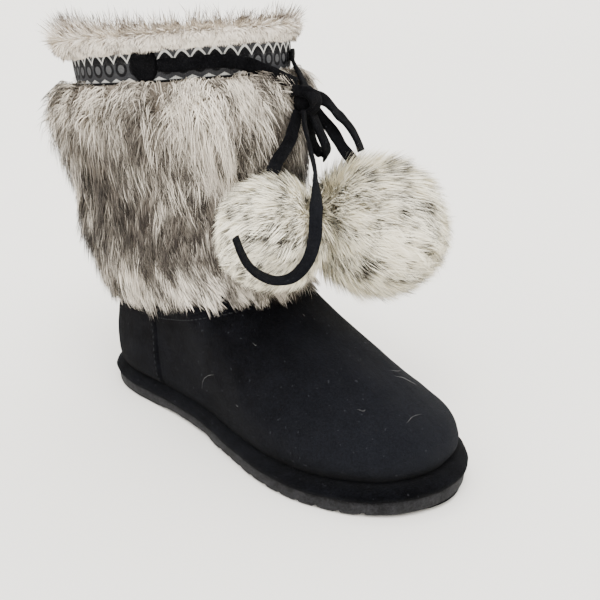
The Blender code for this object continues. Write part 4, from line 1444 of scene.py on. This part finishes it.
def sleeve_hairs(finish, name, start, end, count, each=30):
    """One side of the sleeve's hair, from one place around to another. It falls, and arches at the brim."""
    locks = Locks(count, each)
    middle_height = locks.middles[:, 1] ** 1.1 * 1.02 - 0.02
    around = (start + (end - start) * locks.middles[:, 0])[locks.member] + locks.spread[:, 0] * 0.0065
    height = np.clip(middle_height[locks.member] + locks.spread[:, 1] * 0.035, 0.0, 0.998)
    depth, nudge = 0.58, 1e-3
    roots = sleeve_point(around, height, depth)
    down = unit(sleeve_point(around, height - nudge, depth) - sleeve_point(around, height + nudge, depth))
    forward = unit(sleeve_point(around + nudge, height, depth) - sleeve_point(around - nudge, height, depth))
    outs = outward(around, np.clip(HEM_RISE + height * 0.1, 0, COLLAR_EDGE))
    back = backward(around)

    sweep = 0.28 * np.exp(-(((around - 0.36) / 0.14) ** 2)) * (1 - 0.9 * height)
    sweep -= 0.26 * np.exp(-(((around - 0.47) / 0.05) ** 2)) * (1 - height)
    lean = locks.bell(0, 0.24) + locks.each_bell(0.10) + sweep
    lift = locks.bell(0.12, 0.16)
    brim = ease((height - 0.76) / 0.19) * (0.72 + 0.28 * back) * locks.even(0.6, 1.4)
    bulge = 0.50 * np.exp(-(((height - 0.45) / 0.28) ** 2)) * back**2
    starts = blend((outs, 0.50 + 0.25 * back), (down, 1 - 1.75 * brim), (forward, 0.6 * lean))
    ends = blend((outs, lift - 0.18 + bulge + 0.20 * brim), (down, 1 - 0.30 * brim), (forward, lean))

    long = locks.even(0.021, 0.034) * locks.each_even(0.80, 1.15)
    long = long * np.interp(height, [0, 0.15, 0.80, 0.93, 1], [0.55, 0.88, 1.0, 0.72, 0.55])
    drift = blend((locks.to_middle(roots), np.interp(height, [0, 0.25], [0.28, 0.68])))
    tones = locks.even(0.08, 0.82) + locks.each_bell(0.12)
    for patch in PATCHES:
        across, up = (around - patch.around) / patch.width, (height - patch.height) / patch.tall
        tones = tones + patch.shade * np.exp(-(across**2) - up**2)
    widths = locks.each_even(0.00028, 0.00056)
    return hairs(name, finish, roots, outs, starts, ends, long, widths, np.clip(tones, 0, 1), drift)


# How high the collar's fur stands over its edge, and reaches in, as a share of the solid's
COLLAR_FLAT = 0.3


def collar_point(around, turn, share):
    """A point of the rolled collar: its turn goes from the ribbon's top outside, over the edge, to inside."""
    base, top = RIBBON_TOP + CLEARANCE, COLLAR_EDGE + EDGE_FUR_TOP * COLLAR_FLAT
    depth = EDGE_FUR_FRONT + (EDGE_FUR_BACK - EDGE_FUR_FRONT) * backward(around)
    turns = np.array([0.0, 0.2, 0.4, 0.5, 0.6, 0.8, 1.0])
    reach = curve(turns, np.array([0.35, 0.85, 0.72, 0.0, -0.72, -0.9, -0.3]), turn)
    inside = UPPER_WALL * COLLAR_FLAT
    out = np.where(reach > 0, reach * depth, reach * inside) * share
    low = np.where(turn < 0.5, base, COLLAR_EDGE - EDGE_FUR_TURN)
    up = curve(turns, np.array([0.0, 0.45, 0.85, 1.0, 0.88, 0.5, 0.0]), turn)
    rise = low + up * (top - low)
    return skin(around, rise, CLEARANCE + out)


def collar_body(finish):
    """The dense fur of the collar under its hairs, closed from its inside back to its foot."""
    closed_from, depth, last = 0.96, 0.82, 0.999

    def place(across, up):
        turn = np.where(up < last, up / closed_from, 0.0).clip(0, 1)
        return collar_point(across, turn, depth)

    return piece("collar_underlay", sheet(160, 25, place), finish, "grey_fur", "fur_collar", sharp=90)


def collar_hairs(finish, name, start, end, count, each=14):
    """One side of the collar's short fur, that lies flat at its foot and stands up at the rim."""
    locks = Locks(count, each)
    around = start + (end - start) * locks.middles[locks.member, 0] + locks.spread[:, 0] * 0.005
    turn = np.clip(locks.middles[locks.member, 1] * 0.50 + locks.spread[:, 1] * 0.02, 0.06, 0.50)
    depth, nudge, step = 0.80, 0.02, 1e-3
    roots = collar_point(around, turn, depth)
    along = unit(collar_point(around, turn - nudge, depth) - collar_point(around, turn + nudge, depth))
    round_it = unit(collar_point(around + step, turn, depth) - collar_point(around - step, turn, depth))
    outs = unit(np.cross(along, round_it))
    within = skin(around, np.full(len(around), COLLAR_EDGE), -0.0015)
    outs = outs * np.sign(np.sum(outs * (roots - within), axis=1))[:, None]
    over = blend((along, np.where(turn < 0.5, 1.0, -1.0) * np.clip(np.abs(turn - 0.5) / 0.2, 0.15, 1)))
    back, rim, low = backward(around), ease((turn - 0.28) / 0.14), 1 - ease(turn / 0.16)

    lean = locks.bell(0, 0.30) + locks.each_bell(0.15)
    starts = blend((outs, 1), (over, 0.35 - 0.45 * low), (round_it, 0.5 * lean))
    ends = blend(
        (outs, 0.40 + 0.35 * back + 0.15 * rim),
        (over, 0.60 + 0.10 * rim - 0.40 * low),
        (round_it, lean),
    )

    long = locks.even(0.0034, 0.0050) * locks.each_even(0.8, 1.2)
    stray = locks.each_even(0, 1) > 0.90 - 0.2 * back
    long = long * (1 + 0.1 * rim) * (1 + (1.2 + 0.7 * back) * rim * stray + 0.6 * back)
    tones = locks.even(0.4, 0.9) + locks.each_bell(0.2)
    tones = np.clip(tones - 0.75 * ease((turn - 0.36) / 0.10), 0, 1)
    widths = locks.each_even(0.00028, 0.00048)
    return hairs(name, finish, roots, outs, starts, ends, long, widths, tones, locks.to_middle(roots) * 0.5)


class Lay(NamedTuple):
    """The way from a pompom's middle to the point its hair falls away from."""

    x: float
    y: float
    z: float


def pompom_body(name, ball, finish, node):
    """The dense fur of a pompom under its hairs."""
    share = 0.74

    def place(across, up):
        return np.array(ball[:3]) + ball_ways(across, up) * ball.radius * share

    return piece(name, sheet(48, 28, place), finish, "grey_fur", node, sharp=90)


def pompom_hairs(name, ball, lay, reach, finish, count, each=24, pressed=None):
    """A ball's hair, that falls away from one point and is pressed down under the lace that lies on it."""
    locks = Locks(count, each)
    z = locks.middles[:, 1] * 2 - 1
    turn = 2 * math.pi * locks.middles[:, 0]
    lock = np.stack([np.sqrt(1 - z * z) * np.cos(turn), np.sqrt(1 - z * z) * np.sin(turn), z], axis=1)
    across = unit(np.cross(lock, unit(random.normal(size=lock.shape))))
    other = np.cross(lock, across)
    shift = across[locks.member] * locks.spread[:, :1] + other[locks.member] * locks.spread[:, 1:]
    outs = unit(lock[locks.member] + shift * 0.085)
    roots = np.array(ball[:3]) + outs * ball.radius * 0.70

    crown = unit(np.array(lay))
    away = unit(outs - crown - outs * np.sum((outs - crown) * outs, axis=1)[:, None])
    away *= ease(np.linalg.norm(outs - crown, axis=1) / 0.75)[:, None]
    wind = blend((unit(np.cross(lock, crown))[locks.member], locks.bell(0, 0.30)))
    starts = outs * 0.95 + away * 0.75 + wind * 0.5 - [0, 0, 0.05]
    ends = outs * 0.10 + away + wind
    long = ball.radius * reach * locks.even(0.80, 1.12) * locks.each_even(0.85, 1.12)
    drift = locks.to_middle(roots) * 0.65
    if pressed is not None:
        touch, shorter, flatter = 0.012, 0.45, 0.6
        tips = roots + unit(starts + ends) * long[:, None] * 0.8
        near = np.min(np.linalg.norm(tips[:, None] - pressed[None], axis=2), axis=1)
        push = np.clip(1 - near / touch, 0, 1)
        long = long * (1 - shorter * push)
        starts = starts - outs * (flatter * push)[:, None]
    tones = np.clip(locks.even(0.35, 0.9) + locks.each_bell(0.12), 0, 1)
    widths = locks.each_even(0.00040, 0.00060)
    return hairs(name, finish, roots, outs, starts, ends, long, widths, tones, drift)


def camera():
    """The photograph's camera, as it follows from the sole's outline, the ribbon's ellipse and the toe."""
    data = bpy.data.cameras.new("photo_camera")
    data.lens = 49.19
    data.sensor_width = 36.0
    data.clip_end = 100
    made = bpy.data.objects.new("photo_camera", data)
    made.location = (0.4346, -0.3167, 0.2602)
    made.rotation_euler = (math.radians(68.97), 0, math.radians(44.75))
    bpy.context.scene.collection.objects.link(made)
    bpy.context.scene.camera = made


def sun(name, azimuth, height, energy, angle):
    """Soft light from a way given in degrees: 0 azimuth is from +X, 90 from +Y."""
    data = bpy.data.lights.new(name, "SUN")
    data.energy = energy
    data.angle = math.radians(angle)
    made = bpy.data.objects.new(name, data)
    made.rotation_euler = (math.radians(90 - height), 0, math.radians(azimuth + 90))
    bpy.context.scene.collection.objects.link(made)


def studio():
    """A pale floor that curves up far out, so that no horizon shows, an even surround and soft lights."""
    mesh = bmesh.new()
    flat, run, rise, most = 4, 10, 5, 1.2
    bmesh.ops.create_grid(mesh, x_segments=48, y_segments=48, size=16)
    for corner in mesh.verts:
        away = (math.hypot(corner.co.x, corner.co.y) - flat) / run
        corner.co.z = rise * np.clip(away, 0, most) ** 2
    data = bpy.data.meshes.new("backdrop")
    mesh.to_mesh(data)
    mesh.free()
    data.shade_smooth()
    floor = bpy.data.objects.new("backdrop", data)
    bpy.context.scene.collection.objects.link(floor)
    data.materials.append(floor_finish())
    world = bpy.data.worlds.new("surround")
    world.use_nodes = True
    world.node_tree.nodes["Background"].inputs["Color"].default_value = (1, 1, 1, 1)
    world.node_tree.nodes["Background"].inputs["Strength"].default_value = 1.62
    bpy.context.scene.world = world
    sun("main_light", -40, 60, 4.0, 40)
    sun("side_light", -95, 40, 1.0, 60)
    sun("back_light", 150, 45, 0.8, 60)


def cords(suede):
    """The loop, the two free ends and the pompoms' cords. Gives the routes that other pieces need."""
    middle = tuple(KNOT_CENTRE)
    made = {}
    for name, table, start, node in (
        ("bow_loop_lace", BOW_LOOP, None, "bow_loop"),
        ("long_end_lace", FREE_END_LONG, None, "free_end_long"),
        ("short_end_lace", FREE_END_SHORT, middle, "free_end_short"),
        ("lateral_pompom_lace", POMPOM_CORD_LATERAL, None, "pompom_cord_lateral"),
        ("medial_pompom_lace", POMPOM_CORD_MEDIAL, middle, "pompom_cord_medial"),
    ):
        points, turns = hanging(table, start)
        made[name] = (lace(name, points, turns, suede, node), points)
    return made


def declare(made, name):
    """Builds a list of a hanging lace's route points, about thirty and its end, and keeps nothing."""
    made_lace, points = made[name]
    [tuple(point) for point in points[:: max(1, len(points) // 30)]] + [tuple(points[-1])]


def main():
    """Makes the whole scene. The order of its calls is the order of the random draws."""
    camera()
    lace_suede = suede_finish("black_lace_suede", (0.0008, 0.0008, 0.0011), (0.0048, 0.0049, 0.0060))
    made = cords(lace_suede)
    knotted = [knot(lace_suede), *knot_wraps(lace_suede)]
    pompom_finish = fur_finish("pompom_hair", POMPOM_FUR)
    pompom_under = underfur_finish("pompom_underfur", POMPOM_FUR)
    lying = made["long_end_lace"][1][::4]
    for side, ball, lay, reach, count, pressed in (
        ("lateral", POMPOM_LATERAL, Lay(0.545, 0.645, 0.50), 0.60, 1200, lying),
        ("medial", POMPOM_MEDIAL, Lay(-0.90, -0.34, 0.28), 0.76, 1450, None),
    ):
        body = pompom_body(f"pompom_body_{side}", ball, pompom_under, f"pompom_{side}")
        fur = pompom_hairs(f"pompom_hair_{side}", ball, lay, reach, pompom_finish, count, pressed=pressed)
    declare(made, "bow_loop_lace")
    declare(made, "long_end_lace")
    declare(made, "short_end_lace")
    declare(made, "lateral_pompom_lace")
    declare(made, "medial_pompom_lace")

    suede = suede_finish("black_suede")
    fleece = fleece_finish()
    upper(suede)
    lining(fleece)
    counter(suede)
    seam(suede)
    stitches(thread_finish())
    lint(lint_finish())
    outsole(rubber_finish())
    rand(suede)
    ribbon(ribbon_finish())
    for name, side in (("lace_patch_lateral", -1), ("lace_patch_medial", 1)):
        tab(name, side, lace_suede)
    lace_on_boot("lace_run_lateral", LATERAL_RUN, lace_suede, "lace_lateral")
    lace_on_boot("lace_run_medial", MEDIAL_RUN, lace_suede, "lace_medial")

    underfur(underfur_finish("sleeve_underfur", SLEEVE_FUR))
    sleeve_finish = fur_finish("sleeve_hair", SLEEVE_FUR)
    sleeve_hairs(sleeve_finish, "sleeve_hair_lateral", 0.0, 0.5, 1150)
    sleeve_hairs(sleeve_finish, "sleeve_hair_medial", 0.5, 1.0, 1150)
    collar_body(underfur_finish("collar_underfur", COLLAR_FUR))
    collar_finish = fur_finish("collar_hair", COLLAR_FUR)
    collar_hairs(collar_finish, "collar_hair_lateral", 0.0, 0.5, 1000)
    collar_hairs(collar_finish, "collar_hair_medial", 0.5, 1.0, 1000)
    studio()


main()
